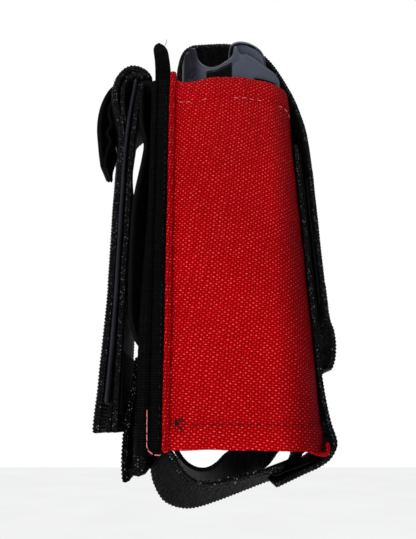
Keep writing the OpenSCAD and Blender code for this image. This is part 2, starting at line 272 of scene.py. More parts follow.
def red_cloth(name, angle=math.radians(6), inside=False):
    m, nt, bs = nodes_of(name)
    uv = uv_vec(nt)
    h, par, wn = weave(nt, uv, 0.00106, 0.00082, angle, warp=0.0022, warp_scale=32)
    # floats of the weft catch the light, those of the warp stay deeper
    lit = mnode(nt, "MULTIPLY", h, mnode(nt, "MULTIPLY_ADD", par, 0.52, 0.48))
    lit = mnode(nt, "MULTIPLY", lit, mnode(nt, "MULTIPLY_ADD", wn, 0.22, 0.84))
    # painted shade: inside=True scales the red to 0.55 for cloth turned inside the sleeve
    k = 0.55 if inside else 1.0
    base = ramp(nt, lit, [
        (0.00, (0.190 * k, 0.0001, 0.0004)),
        (0.35, (0.350 * k, 0.0003, 0.0012)),
        (0.66, (0.580 * k, 0.0016, 0.0050)),
        (0.88, (0.780 * k, 0.0240, 0.0380)),
        (1.00, (0.900 * k, 0.1200, 0.1450)),
    ])
    big = noisen(nt, uv, 22, 2.0)
    tone = ramp(nt, big.outputs["Fac"], [(0.3, (0.86, 0.80, 0.86)), (0.7, (1.08, 1.0, 1.0))])
    col = mixc(nt, 1.0, base, tone, "MULTIPLY")
    # painted shade: the cloth is darkened where it runs in under the front webbing, as the webbing's shadow on it
    sp = nt.nodes.new("ShaderNodeSeparateXYZ")
    nt.links.new(uv, sp.inputs[0])
    ctr = mnode(nt, "ABSOLUTE", mnode(nt, "SUBTRACT", sp.outputs[0], 0.0735))
    strap_painted_shade = ramp(nt, mnode(nt, "MULTIPLY", ctr, 20.0), [(0.36, (0.30, 0.12, 0.30)), (0.50, (0.50, 0.35, 0.50)), (0.66, (1.0, 1.0, 1.0))])
    if not inside:
        col = mixc(nt, 1.0, col, strap_painted_shade, "MULTIPLY")
    nt.links.new(col, bs.inputs["Base Color"])
    rough = mnode(nt, "MULTIPLY_ADD", h, -0.16, 0.62)
    nt.links.new(rough, bs.inputs["Roughness"])
    bs.inputs["Specular IOR Level"].default_value = 0.02
    fib = noisen(nt, uv, 9000, 1.0)
    hh = mnode(nt, "MULTIPLY_ADD", fib.outputs["Fac"], 0.14, h)
    nt.links.new(bump(nt, hh, 0.85, 0.00028), bs.inputs["Normal"])
    return m


def black_web(name, tw=0.0011, th=0.0013, angle=0.0, base=0.0026, tip=0.030, gain=0.5, rough=0.6, shiny=0.09, bumpd=0.00022):
    m, nt, bs = nodes_of(name)
    uv = uv_vec(nt)
    h, par, wn = weave(nt, uv, tw, th, angle, warp=0.0005, warp_scale=60)
    lit = mnode(nt, "MULTIPLY", mnode(nt, "POWER", h, 2.0), mnode(nt, "MULTIPLY_ADD", par, gain, 1 - gain))
    lit = mnode(nt, "MULTIPLY", lit, mnode(nt, "MULTIPLY_ADD", wn, 0.8, 0.35))
    col = ramp(nt, lit, [
        (0.0, (base * 0.45, base * 0.45, base * 0.5)),
        (0.45, (base, base, base * 1.1)),
        (1.0, (tip, tip, tip * 1.12)),
    ])
    big = noisen(nt, uv, 45, 2.0)
    tone = ramp(nt, big.outputs["Fac"], [(0.3, (0.72, 0.72, 0.74)), (0.72, (1.22, 1.2, 1.25))])
    nt.links.new(mixc(nt, 1.0, col, tone, "MULTIPLY"), bs.inputs["Base Color"])
    nt.links.new(mnode(nt, "MULTIPLY_ADD", wn, -0.14, rough), bs.inputs["Roughness"])
    bs.inputs["Specular IOR Level"].default_value = shiny
    fib = noisen(nt, uv, 8000, 1.0)
    hh = mnode(nt, "MULTIPLY_ADD", fib.outputs["Fac"], 0.2, h)
    nt.links.new(bump(nt, hh, 0.9, bumpd), bs.inputs["Normal"])
    return m


def pile(name, base=0.006, hooks=False):
    m, nt, bs = nodes_of(name)
    vec = obj_vec(nt)
    a = noisen(nt, vec, 2600 if hooks else 1500, 3.0, 0.7)
    b = noisen(nt, vec, 160, 2.0)
    if hooks:
        v = nt.nodes.new("ShaderNodeTexVoronoi")
        v.inputs["Scale"].default_value = 900
        nt.links.new(vec, v.inputs["Vector"])
        h = mnode(nt, "SUBTRACT", 1.0, v.outputs["Distance"])
    else:
        h = a.outputs["Fac"]
    mixf = mnode(nt, "MULTIPLY", h, b.outputs["Fac"])
    col = ramp(nt, mixf, [(0.1, (base * 0.5,) * 3), (0.5, (base * 1.6, base * 1.6, base * 1.8))])
    nt.links.new(col, bs.inputs["Base Color"])
    nt.links.new(mnode(nt, "MULTIPLY_ADD", a.outputs["Fac"], 0.2, 0.72 if not hooks else 0.5), bs.inputs["Roughness"])
    bs.inputs["Specular IOR Level"].default_value = 0.07
    nt.links.new(bump(nt, h, 0.8, 0.0004), bs.inputs["Normal"])
    return m


def grosgrain(name, base=0.008, tip=0.04):
    """Binding tape: fine cross ribs with a mottled face."""
    m, nt, bs = nodes_of(name)
    uv = uv_vec(nt)
    sep = nt.nodes.new("ShaderNodeSeparateXYZ")
    nt.links.new(uv, sep.inputs[0])
    rib = mnode(nt, "SINE", mnode(nt, "MULTIPLY", sep.outputs[1], 2 * math.pi / 0.0009))
    rib = mnode(nt, "MULTIPLY_ADD", rib, 0.5, 0.5)
    h, par, wn = weave(nt, uv, 0.0009, 0.0009, 0.0, warp=0.0004, warp_scale=90)
    mot = noisen(nt, uv, 420, 3.0, 0.65)
    hh = mnode(nt, "ADD", mnode(nt, "MULTIPLY", rib, 0.5), mnode(nt, "MULTIPLY", h, 0.5))
    lit = mnode(nt, "MULTIPLY", hh, mot.outputs["Fac"])
    col = ramp(nt, lit, [(0.05, (base * 0.4,) * 3), (0.35, (base,) * 3), (0.75, (tip, tip, tip * 1.05))])
    nt.links.new(col, bs.inputs["Base Color"])
    nt.links.new(mnode(nt, "MULTIPLY_ADD", mot.outputs["Fac"], 0.2, 0.55), bs.inputs["Roughness"])
    bs.inputs["Specular IOR Level"].default_value = 0.03
    nt.links.new(bump(nt, hh, 0.8, 0.0003), bs.inputs["Normal"])
    return m


def moulded(name, col_a, col_b, rough=0.46, grain=0.00006, spec=0.45, lobe=False):
    m, nt, bs = nodes_of(name)
    vec = obj_vec(nt)
    a = noisen(nt, vec, 2400, 4.0, 0.6)
    b = noisen(nt, vec, 70, 3.0)
    c = noisen(nt, vec, 260, 2.0)
    f = mnode(nt, "MULTIPLY_ADD", a.outputs["Fac"], 0.3, mnode(nt, "MULTIPLY", b.outputs["Fac"], 0.7))
    col = ramp(nt, f, [(0.32, col_a), (0.68, col_b)])
    if lobe:
        # painted shade: the rear lobe is darkened, fading into the face, as the strap's shadow over it
        sp = nt.nodes.new("ShaderNodeSeparateXYZ")
        nt.links.new(vec, sp.inputs[0])
        yy = mnode(nt, "MULTIPLY_ADD", sp.outputs[1], 100.0, -100.0 * (Y0 - 0.0215))
        col = mixc(nt, 1.0, col, ramp(nt, yy, [(0.0, (1, 1, 1)), (0.30, (0.78, 0.78, 0.80)), (0.62, (0.12, 0.12, 0.16)), (1.0, (0.08, 0.08, 0.11))]), "MULTIPLY")
    nt.links.new(col, bs.inputs["Base Color"])
    nt.links.new(mnode(nt, "MULTIPLY_ADD", c.outputs["Fac"], 0.16, rough - 0.08), bs.inputs["Roughness"])
    bs.inputs["Specular IOR Level"].default_value = spec
    nt.links.new(bump(nt, a.outputs["Fac"], 0.5, grain), bs.inputs["Normal"])
    return m


def thread(name, col, col2):
    m, nt, bs = nodes_of(name)
    uv = uv_vec(nt)
    w = nt.nodes.new("ShaderNodeTexWave")
    w.inputs["Scale"].default_value = 900
    w.bands_direction = "DIAGONAL"
    nt.links.new(uv, w.inputs["Vector"])
    n = noisen(nt, obj_vec(nt), 900, 2.0)
    f = mnode(nt, "MULTIPLY_ADD", n.outputs["Fac"], 0.5, mnode(nt, "MULTIPLY", w.outputs["Fac"], 0.5))
    nt.links.new(ramp(nt, f, [(0.2, col), (0.8, col2)]), bs.inputs["Base Color"])
    bs.inputs["Roughness"].default_value = 0.55
    bs.inputs["Specular IOR Level"].default_value = 0.08
    nt.links.new(bump(nt, w.outputs["Fac"], 0.6, 0.0001), bs.inputs["Normal"])
    return m


RED = red_cloth("nylon_red")
RED_SEAM = red_cloth("nylon_red_seam", angle=math.radians(38))
# the turned hem inside the sleeve: a darker copy of the red, as painted shade
RED_HEM = red_cloth("nylon_red_hem", inside=True)
WEB = black_web("webbing_black")
RIB = black_web("webbing_ribbed", tw=0.0012, th=0.0010, base=0.0028, tip=0.034, gain=0.35)
# black ribbed webbing, further darkened as painted shade against the floor's light on the sling and rear tab
RIB_PAINTED_SHADE = black_web("webbing_ribbed_painted_shade", tw=0.0013, th=0.00064, base=0.0003, tip=0.0060, gain=0.25, shiny=0.01)
PLAIN_BLACK = black_web("nylon_black", tw=0.0009, th=0.0008, base=0.0034, tip=0.022)
LINING = pile("lining_black", 0.0035)
PILE = pile("loop_pile", 0.0030)
HOOK = pile("hook_tape", 0.0030, hooks=True)
TAPE = grosgrain("binding_tape", base=0.0006, tip=0.0085)
TAB_TAPE = grosgrain("tab_tape", base=0.0026, tip=0.010)
STIFF_GREY = moulded("stiffener_grey", (0.010, 0.0105, 0.014), (0.021, 0.022, 0.028), rough=0.5, spec=0.12)
# smooth black liner, further darkened as painted shade against the floor's light under the sling
LINER_PAINTED_SHADE = moulded("liner_smooth_painted_shade", (0.0012, 0.0012, 0.0017), (0.0034, 0.0034, 0.0046), rough=0.6, spec=0.03)
STIFF_PALE = moulded("stiffener_plastic", (0.62, 0.62, 0.64), (0.74, 0.74, 0.76), rough=0.5)
# lobe=True paints the rear lobe's shade into the case colour
CASE = moulded("case_plastic", (0.052, 0.058, 0.082), (0.078, 0.086, 0.118), rough=0.42, spec=0.16, lobe=True)
CASE_DARK = moulded("case_plastic_dark", (0.040, 0.046, 0.064), (0.058, 0.065, 0.088), rough=0.46, spec=0.25)
LABEL = moulded("label_black", (0.0012, 0.0012, 0.0016), (0.0028, 0.0028, 0.0036), rough=0.32, grain=0.00001, spec=0.08)
SHADOW = moulded("slot_painted_shade", (0.001, 0.001, 0.0014), (0.002, 0.002, 0.003), rough=0.7, spec=0.05)
TH_PINK = thread("thread_pink", (0.50, 0.09, 0.11), (0.74, 0.26, 0.28))
TH_RED = thread("thread_red", (0.050, 0.0004, 0.001), (0.130, 0.0015, 0.004))
TH_BLACK = thread("thread_black", (0.002, 0.002, 0.003), (0.014, 0.014, 0.017))


def knuckle():
    """Weft loops on a selvedge: most are dark, some catch the light. The tone rides in the map's first value."""
    m, nt, bs = nodes_of("web_loops")
    sep = nt.nodes.new("ShaderNodeSeparateXYZ")
    nt.links.new(uv_vec(nt), sep.inputs[0])
    n = noisen(nt, obj_vec(nt), 2200, 2.0)
    f = mnode(nt, "MULTIPLY", sep.outputs[0], mnode(nt, "MULTIPLY_ADD", n.outputs["Fac"], 0.5, 0.75))
    nt.links.new(ramp(nt, f, [(0.10, (0.0012, 0.0012, 0.0015)), (0.52, (0.0030, 0.0030, 0.0040)), (0.76, (0.020, 0.020, 0.025)), (1.0, (0.120, 0.120, 0.142))]), bs.inputs["Base Color"])
    bs.inputs["Roughness"].default_value = 0.55
    bs.inputs["Specular IOR Level"].default_value = 0.14
    nt.links.new(bump(nt, n.outputs["Fac"], 0.5, 0.0001), bs.inputs["Normal"])
    return m


KNUCKLE = knuckle()


def glass_cloth():
    m, nt, bs = nodes_of("glass_cloth")
    uv = uv_vec(nt)
    h, par, wn = weave(nt, uv, 0.0011, 0.0011, 0.0, warp=0.0006, warp_scale=60)
    col = ramp(nt, mnode(nt, "MULTIPLY", h, mnode(nt, "MULTIPLY_ADD", wn, 0.3, 0.8)),
               [(0.0, (0.42, 0.41, 0.37)), (0.6, (0.74, 0.72, 0.66)), (1.0, (0.88, 0.87, 0.83))])
    nt.links.new(col, bs.inputs["Base Color"])
    nt.links.new(mnode(nt, "MULTIPLY_ADD", h, -0.2, 0.6), bs.inputs["Roughness"])
    nt.links.new(bump(nt, h, 0.7, 0.0002), bs.inputs["Normal"])
    return m


GLASS = glass_cloth()


# ---------------------------------------------------------------- straps
def strap(name, path, w, t, mat, rib=None, ds=0.5, cols=12, xc=0.0, edge=None, yaw=None, bow=0.0,
          wave=0.15, seed=0.0, rib_skew=0.0, taper=None, blunt=True, pick=0.0, ribs_inner=True, picks=0, pick_mat=None,
          sides=(-1, 1), grow=None):
    """A webbing strap with its mid line on path (y, z). The right of the path's direction is its outer face.
    rib=(pitch, height); edge(f) gives (dy, dz) at x = +w/2, mirrored at x = -w/2; yaw(f, x) gives extra y;
    picks is how many columns of weft loops stand on each selvedge; grow(f) scales the thickness."""
    pts, ss = resample(path, ds)
    n = len(pts)
    hw = w / 2
    xs = []
    for j in range(cols + 1):
        c = -math.cos(math.pi * j / cols)
        xs.append(0.55 * c + 0.45 * (2 * j / cols - 1))
    ring = [(x, 1) for x in xs] + [(x, -1) for x in reversed(xs)]
    k = len(ring)
    tans = []
    for i in range(n):
        a, b = pts[max(i - 1, 0)], pts[min(i + 1, n - 1)]
        ty, tz = b[0] - a[0], b[1] - a[1]
        L = math.hypot(ty, tz) or 1
        tans.append((ty / L, tz / L))

    def place(i, u, side, lift=None):
        """Point of the strap's skin at ring i, across position u; lift replaces the skin by a share of t/2."""
        (y, z), s = pts[i], ss[i]
        ty, tz = tans[i]
        oy, oz = tz, -ty              # right of the direction: the outer side
        endf = min(s, ss[-1] - s)
        er = 1.0
        if blunt and endf < 0.8:
            er = math.sqrt(max(0.0, 1 - (1 - endf / 0.8) ** 2)) * 0.85 + 0.15
        f = s / ss[-1]
        tw = taper(f) if taper else 1.0
        tt = t * (grow(f) if grow else 1.0)
        x = u * hw * tw
        prof = (1 - min(1.0, abs(u)) ** 24) ** 0.5 * 0.40 + 0.60
        ph = math.sin(2 * math.pi * (s + rib_skew * x) / rib[0]) if rib else 0.0
        if lift is None:
            h = side * tt / 2 * prof * er
            if rib and (side > 0 or ribs_inner):
                h += side * rib[1] * ph * (0.35 + 0.65 * prof) * er
        else:
            h = lift * tt / 2 * er
        hh = h + wave * nz(s, seed, 3.1, 0.045, seed) + bow * (1 - u * u) + 0.10 * nz(x, s, seed, 0.11, 2.0 + seed)
        xx = x + xc
        if rib and abs(u) > 0.93:
            xx += (0.10 + pick) * ph * (1 if u > 0 else -1)
        dy = dz = 0.0
        if edge:
            e = edge(f)
            dy, dz = e[0] * u, e[1] * u
        if yaw:
            dy += yaw(f, x)
        return Vector((xx, y + oy * hh + dy, z + oz * hh + dz))

    verts, uvs, faces = [], [], []
    for i in range(n):
        for q, (u, side) in enumerate(ring):
            verts.append(W(*place(i, u, side)))
            uvs.append(((u * hw + (0 if side > 0 else 2.3 * w)) / 1000.0, ss[i] / 1000.0))
    for i in range(n - 1):
        for q in range(k):
            q2 = (q + 1) % k
            faces.append((i * k + q, i * k + q2, (i + 1) * k + q2, (i + 1) * k + q))
    for base in (0, (n - 1) * k):
        for j in range(cols):
            f = (base + j, base + j + 1, base + k - 2 - j, base + k - 1 - j)
            faces.append(f)
    ob = outward(mesh_object(name, verts, faces, uvs, mat))
    if not picks:
        return ob
    # weft loops along the selvedge: small rounded knuckles in staggered columns
    bv, bf, bu = [], [], []
    step = 1.06
    m = int(ss[-1] / step)
    for sd in sides:
        for c in range(picks):
            lift = 0.0 if picks == 1 else -0.50 + 1.0 * c / (picks - 1)
            for q in range(m):
                s0 = (q + 0.5 * (c % 2) + rnd.uniform(-0.16, 0.16)) * step + 0.3
                i = min(n - 1, max(0, int(round(s0 / ss[-1] * (n - 1)))))
                i2 = min(n - 1, i + 1)
                f = s0 / ss[-1] * (n - 1) - i
                p = place(i, sd * 1.0, 1, lift + rnd.uniform(-0.10, 0.10))
                p = p.lerp(place(i2, sd * 1.0, 1, lift), min(1.0, max(0.0, f)))
                ty, tz = tans[i]
                T = Vector((0, ty, tz))
                N = Vector((0, tz, -ty))
                X = Vector((sd, 0, 0))
                g = rnd.uniform(0.7, 1.1)
                ra, rb, rc = 0.34 * g, min(0.27, 0.30 * t / max(1, picks)) * g, 0.20 * g
                b0 = len(bv)
                vv = s0 / 1000.0
                tone = rnd.random()
                bv.append(W(*(p + X * rc)))
                bu.append((tone, vv))
                for lat, rr in ((0.62, 0.72), (0.0, 1.0)):
                    for e in range(8):
                        th = 2 * math.pi * e / 8
                        bv.append(W(*(p + X * (rc * lat) + T * (ra * rr * math.cos(th)) + N * (rb * rr * math.sin(th)))))
                        bu.append((tone, vv))
                for e in range(8):
                    e2 = (e + 1) % 8
                    bf.append((b0, b0 + 1 + e, b0 + 1 + e2))
                    bf.append((b0 + 1 + e, b0 + 9 + e, b0 + 9 + e2, b0 + 1 + e2))
                bf.append(tuple(b0 + 9 + e for e in range(8)))
    kn = outward(mesh_object(name + "_loops", bv, bf, bu, pick_mat or KNUCKLE))
    return join(name, [ob, kn])


def tube(name, pts, r, mat, sides=6, closed=False, body=None):
    """A thin tube through 3-D points in mm."""
    verts, faces, uvs = [], [], []
    n = len(pts)
    P = [Vector(p) for p in pts]
    acc = 0.0
    up = Vector((0.3, 0.2, 1)).normalized()
    for i, p in enumerate(P):
        t = (P[min(i + 1, n - 1)] - P[max(i - 1, 0)]).normalized()
        a = t.cross(up)
        if a.length < 1e-3:
            a = t.cross(Vector((1, 0, 0)))
        a.normalize()
        b = t.cross(a)
        if i:
            acc += (p - P[i - 1]).length
        rr = r * (0.45 if i in (0, n - 1) else 1.0)
        for q in range(sides):
            th = 2 * math.pi * q / sides
            v = p + a * (rr * math.cos(th)) + b * (rr * math.sin(th))
            verts.append(W(*v))
            uvs.append((q / sides * 2 * math.pi * r / 1000, acc / 1000))
    for i in range(n - 1):
        for q in range(sides):
            q2 = (q + 1) % sides
            faces.append((i * sides + q, i * sides + q2, (i + 1) * sides + q2, (i + 1) * sides + q))
    faces.append(tuple(range(sides)))
    faces.append(tuple((n - 1) * sides + q for q in reversed(range(sides))))
    ob = mesh_object(name, verts, faces, uvs, mat)
    return outward(ob)


def join(name, obs):
    """Joins meshes that are parts of one piece."""
    for o in bpy.context.selected_objects:
        o.select_set(False)
    for o in obs:
        o.select_set(True)
    bpy.context.view_layer.objects.active = obs[0]
    with bpy.context.temp_override(active_object=obs[0], selected_editable_objects=obs, selected_objects=obs):
        bpy.ops.object.join()
    obs[0].name = name
    obs[0].data.name = name
    return obs[0]


def stitches(name, line, mat, pitch=3.3, gap=0.75, r=0.26, lift=0.16, jitter=0.12, skip=0.0):
    """A row of stitches along line, a list of (point, outward normal) in mm."""
    P = [Vector(p) for p, _ in line]
    N = [Vector(nv).normalized() for _, nv in line]
    acc = [0.0]
    for a, b in zip(P, P[1:]):
        acc.append(acc[-1] + (b - a).length)

    def at(s):
        s = min(max(s, 0), acc[-1])
        j = 0
        while j < len(acc) - 2 and acc[j + 1] < s:
            j += 1
        f = (s - acc[j]) / max(1e-9, acc[j + 1] - acc[j])
        return P[j].lerp(P[j + 1], f), N[j].lerp(N[j + 1], f).normalized()

    obs, s = [], 0.4
    while s + pitch - gap < acc[-1]:
        if skip and rnd.random() < skip:
            s += pitch
            continue
        L = pitch - gap + rnd.uniform(-0.2, 0.2)
        tw = rnd.uniform(-jitter, jitter)
        pts = []
        for k in range(7):
            f = k / 6
            p, nn = at(s + L * f)
            t = (at(s + L)[0] - at(s)[0]).normalized()
            side = nn.cross(t)
            hgt = lift * math.sin(math.pi * f) ** 0.6 if 0 < f < 1 else -0.25
            pts.append(p + nn * hgt + side * (tw * (f - 0.5) * 2))
        obs.append(tube(f"{name}_{len(obs)}", [tuple(q) for q in pts], r, mat, 6))
        s += pitch
    return join(name, obs)


# ---------------------------------------------------------------- camera, light, floor
def make_stage():
    cam = bpy.data.cameras.new("camera")
    cam.lens = 561.0 / 539.0 * 36.0
    cam.sensor_width = 36.0
    cam.clip_start, cam.clip_end = 0.01, 50
    co = bpy.data.objects.new("camera", cam)
    bpy.context.scene.collection.objects.link(co)
    co.location = W(-225, -20.5, 8)
    p = math.radians(15.5)
    co.rotation_mode = "QUATERNION"
    co.rotation_quaternion = Vector((math.cos(p), 0, math.sin(p))).to_track_quat("-Z", "Y")
    bpy.context.scene.camera = co

    def area(name, loc, look, size, power, col=(1, 1, 1)):
        ld = bpy.data.lights.new(name, "AREA")
        ld.shape = "RECTANGLE"
        ld.size, ld.size_y = size
        ld.energy = power
        ld.color = col
        lo = bpy.data.objects.new(name, ld)
        bpy.context.scene.collection.objects.link(lo)
        lo.location = W(*loc)
        d = W(*look) - W(*loc)
        lo.rotation_mode = "QUATERNION"
        lo.rotation_quaternion = d.to_track_quat("-Z", "Y")
        return lo

    area("key", (-560, 300, 40), (0, -25, 60), (0.45, 0.60), 1.5)
    area("low", (-300, 30, -190), (0, -25, 10), (0.25, 0.25), 0.55)
    area("back_soft", (420, 460, 260), (0, 0, 70), (0.7, 0.7), 1.6)
    area("front_soft", (260, -620, 220), (0, 0, 70), (0.6, 0.6), 1.0)
    sd = bpy.data.lights.new("overhead", "SUN")
    sd.energy = 2.3
    sd.angle = math.radians(60)
    so = bpy.data.objects.new("overhead", sd)
    bpy.context.scene.collection.objects.link(so)
    so.location = W(0, 0, 900)

    w = bpy.data.worlds.new("studio")
    bpy.context.scene.world = w
    w.use_nodes = True
    nt = w.node_tree
    bg = nt.nodes["Background"]
    bg.inputs["Color"].default_value = (0.97, 0.98, 1.0, 1)
    bg.inputs["Strength"].default_value = 0.27
    bg2 = nt.nodes.new("ShaderNodeBackground")
    bg2.inputs["Color"].default_value = (1, 1, 1, 1)
    bg2.inputs["Strength"].default_value = 1.0
    lp = nt.nodes.new("ShaderNodeLightPath")
    mx = nt.nodes.new("ShaderNodeMixShader")
    nt.links.new(lp.outputs["Is Camera Ray"], mx.inputs[0])
    nt.links.new(bg.outputs[0], mx.inputs[1])
    nt.links.new(bg2.outputs[0], mx.inputs[2])
    nt.links.new(mx.outputs[0], nt.nodes["World Output"].inputs[0])

    m, nt, bs = nodes_of("floor_pale")
    n = noisen(nt, obj_vec(nt), 3, 2.0)
    nt.links.new(ramp(nt, n.outputs["Fac"], [(0.3, (0.90, 0.90, 0.90)), (0.7, (0.93, 0.93, 0.93))]), bs.inputs["Base Color"])
    bs.inputs["Roughness"].default_value = 0.8
    fl = mesh_object("floor", [W(-6000, -6000, -420), W(6000, -6000, -420), W(6000, 6000, -420), W(-6000, 6000, -420)], [(0, 1, 2, 3)], None, m, False)
    sc = bpy.context.scene
    sc.view_settings.view_transform = "Standard"
    sc.view_settings.look = "None"


make_stage()

# ---------------------------------------------------------------- sleeve
SLEEVE_H = 142.0
SEC = smooth([(25.2, 0), (27.8, 0.10), (29.5, 0.24), (30, 0.37), (29.8, 0.52), (29.0, 0.67),
              (27.3, 0.80), (24.4, 0.905), (20.2, 0.968), (12, 0.992), (0, 1)], 6)


def apex(z):
    return -(62.0 - 7.4 * z / SLEEVE_H)


def sleeve_ring(z, off):
    """Half section at height z, off mm inside the outer face, from the flange to the front apex."""
    p = [(x, -5.0 + (apex(z) + 5.0) * s) for x, s in SEC]
    out = []
    for i in range(len(p)):
        a, b = p[max(i - 1, 0)], p[min(i + 1, len(p) - 1)]
        tx, ty = b[0] - a[0], b[1] - a[1]
        L = math.hypot(tx, ty)
        nx, ny = ty / L, -tx / L          # points into the sleeve
        if i == len(p) - 1:
            nx, ny = 0, 1
        out.append((p[i][0] + off * nx, p[i][1] + off * ny, -nx, -ny))
    return out


# Rim height of the sleeve against depth: high at the seam, a dip beside it, full at the sides, lower in front
RIM = [(-62, 136.0), (-54.6, 136.6), (-53.0, 139.4), (-51.4, 140.6), (-47.7, 141.0), (-42.0, 141.4), (-34.6, 141.9), (-27.0, 141.9), (-21.3, 141.4),
       (-17.3, 140.7), (-13.6, 140.3), (-10.4, 140.7), (-7.4, 143.0), (-5, 145.2)]


def rim_z(y):
    return lut(RIM, y)


def sleeve_shape(side, a, s, total, z0, x, y, nx, ny):
    """Outward push of the cloth at arc s (mm from the seam), height z0, on side -1 or 1."""
    d = 0.0
    # gathers along the side seam, stronger low down
    g = math.exp(-s / 5.0)
    d += g * (0.42 - 0.18 * z0 / 142) * math.sin(2 * math.pi * z0 / 8.3 + 2.4 * nz(z0, side, 0, 0.05, 3))
    d += -0.9 * math.exp(-((s - 0.8) / 1.3) ** 2)
    # broad unevenness
    d += 0.55 * nz(s, z0, side * 7, 0.035, 5)
    d += 0.22 * nz(s, z0, side * 3, 0.11, 9)
    # drag lines that run down from the mouth
    d += 0.20 * math.sin(0.55 * s + 0.035 * z0 + side) * sm(60, 135, z0) * (1 - g)
    # hems: a stitched groove and a thicker turned edge
    d += -0.34 * math.exp(-((z0 - 8.6) / 0.9) ** 2) - 0.34 * math.exp(-((z0 - 132.6) / 0.9) ** 2)
    d += 0.16 * sm(9.6, 7.6, z0) + 0.16 * sm(131.6, 133.6, z0)
    d += 0.16 * math.sin(2 * math.pi * s / 6.1 + 1.0) * (math.exp(-((z0 - 5.5) / 4.5) ** 2) + math.exp(-((z0 - 136) / 4.5) ** 2))
    return d


def make_sleeve():
    rows, zs = 122, []
    for i in range(rows + 1):
        zs.append(SLEEVE_H * i / rows)
    NU = 82
    verts, uvs, faces = [], [], []
    rings = []
    for zi in zs:
        ring = sleeve_ring(zi, 0.0)
        pl, ss = resample([(r[0], r[1], r[2], r[3]) for r in ring], 0.5)
        total = ss[-1]
        # even samples by arc, denser at the seam
        row = []
        for k in range(NU + 1):
            f = k / NU
            s = total * (0.25 * f * f + 0.75 * f)
            j = min(len(pl) - 1, int(s / total * (len(pl) - 1)))
            row.append((*pl[j], s))
        rings.append((row, total))
    full = []
    for (row, total), zi in zip(rings, zs):
        line = []
        for side in (-1, 1):
            seq = row if side < 0 else list(reversed(row))[1:]
            for (x, y, nx, ny, s) in seq:
                L = math.hypot(nx, ny) or 1
                nx2, ny2 = nx / L * side, ny / L
                h = rim_z(y) / SLEEVE_H
                zz = zi * (1 + (h - 1) * (zi / SLEEVE_H) ** 3)
                d = sleeve_shape(side, 0, s, total, zi, x, y, nx2, ny2)
                # the bottom edge tucks in a little, the top edge rolls
                d -= 0.5 * sm(4, 0, zi)
                d -= 0.25 * sm(138, 142, zi)
                drop = -0.9 * sm(-30, -60, y) * sm(12, 0, zi) + 0.5 * nz(s, side, 1.0, 0.09, 1) * sm(10, 0, zi)
                u = s if side < 0 else (2 * total - s)
                line.append((x * side + nx2 * d, y + ny2 * d, zz + drop, u, zz))
        full.append(line)
    M = len(full[0])
    for line in full:
        for (x, y, z, u, v) in line:
            verts.append(W(x, y, z))
            uvs.append((u / 1000, v / 1000))
    for i in range(rows):
        for j in range(M - 1):
            faces.append((i * M + j, i * M + j + 1, (i + 1) * M + j + 1, (i + 1) * M + j))
    ob = mesh_object("sleeve_cloth", verts, faces, uvs, RED)
    so = ob.modifiers.new("cloth", "SOLIDIFY")
    so.thickness = 0.0010
    so.offset = 1.0
    so.use_rim = True
    # faces wind so that their normals point out of the sleeve
    import bmesh
    bm = bmesh.new()
    bm.from_mesh(ob.data)
    bm.faces.ensure_lookup_table()
    f = bm.faces[len(bm.faces) // 2 * 1 + 5]
    c = f.calc_center_median()
    out = Vector((c.x, c.y - (Y0 - 0.030), 0))
    if f.normal.dot(out) < 0:
        bmesh.ops.reverse_faces(bm, faces=bm.faces)
    bm.to_mesh(ob.data)
    bm.free()
    so.offset = -1.0
    return ob, full, zs


sleeve, SLV, SLZ = make_sleeve()
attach(sleeve, "pouch")
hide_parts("sleeve")


def sleeve_line(z, j0, j1, step=1):
    """Points and normals on the sleeve's outer face at height index z."""
    i = min(range(len(SLZ)), key=lambda q: abs(SLZ[q] - z))
    out = []
    M = len(SLV[0])
    for j in range(j0, j1, step):
        x, y, zz, u, v = SLV[i][j]
        a, b = SLV[i][max(j - 1, 0)], SLV[i][min(j + 1, M - 1)]
        tx, ty = b[0] - a[0], b[1] - a[1]
        L = math.hypot(tx, ty) or 1
        out.append(((x, y, zz), (-ty / L * -1, tx / L * -1, 0)))
    fixed = []
    for p, nv in out:
        c = Vector((p[0], p[1] + 30, 0))
        n = Vector(nv)
        if n.dot(c) < 0:
            n = -n
        fixed.append((p, tuple(n)))
    return fixed


M_S = len(SLV[0])
HALF = M_S // 2


def hem_band(name, z0, z1, node):
    """The turned edge inside the sleeve: a second layer of cloth."""
    rows = 8
    verts, uvs, faces = [], [], []
    cols = list(range(0, M_S, 2))
    for i in range(rows + 1):
        z = z0 + (z1 - z0) * i / rows
        k = min(range(len(SLZ)), key=lambda q: abs(SLZ[q] - z))
        for j in cols:
            x, y, zz, u, v = SLV[k][j]
            a, b = SLV[k][max(j - 1, 0)], SLV[k][min(j + 1, M_S - 1)]
            tx, ty = b[0] - a[0], b[1] - a[1]
            L = math.hypot(tx, ty) or 1
            n = Vector((-ty / L, tx / L, 0))
            if n.dot(Vector((x, y + 30, 0))) < 0:
                n = -n
            q = 1.15 + 0.12 * nz(u, z, 0, 0.2, 3)
            # the line of the rim, carried down without steps
            zl = zz + (z - SLZ[k])
            verts.append(W(x - n.x * q, y - n.y * q, zl))
            uvs.append((u / 1000, (v + 60) / 1000))
    M = len(cols)
    for i in range(rows):
        for j in range(M - 1):
            faces.append((i * M + j, i * M + j + 1, (i + 1) * M + j + 1, (i + 1) * M + j))
    ob = mesh_object(name, verts, faces, uvs, RED_HEM)
    so = ob.modifiers.new("cloth", "SOLIDIFY")
    so.thickness = 0.0007
    so.offset = 0.0
    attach(ob, "pouch")
    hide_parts(node)
    return ob


hem_band("top_hem_turned", 131.2, 141.4, "sleeve_top_hem")
hem_band("bottom_hem_turned", 0.8, 12.0, "sleeve_bottom_hem")

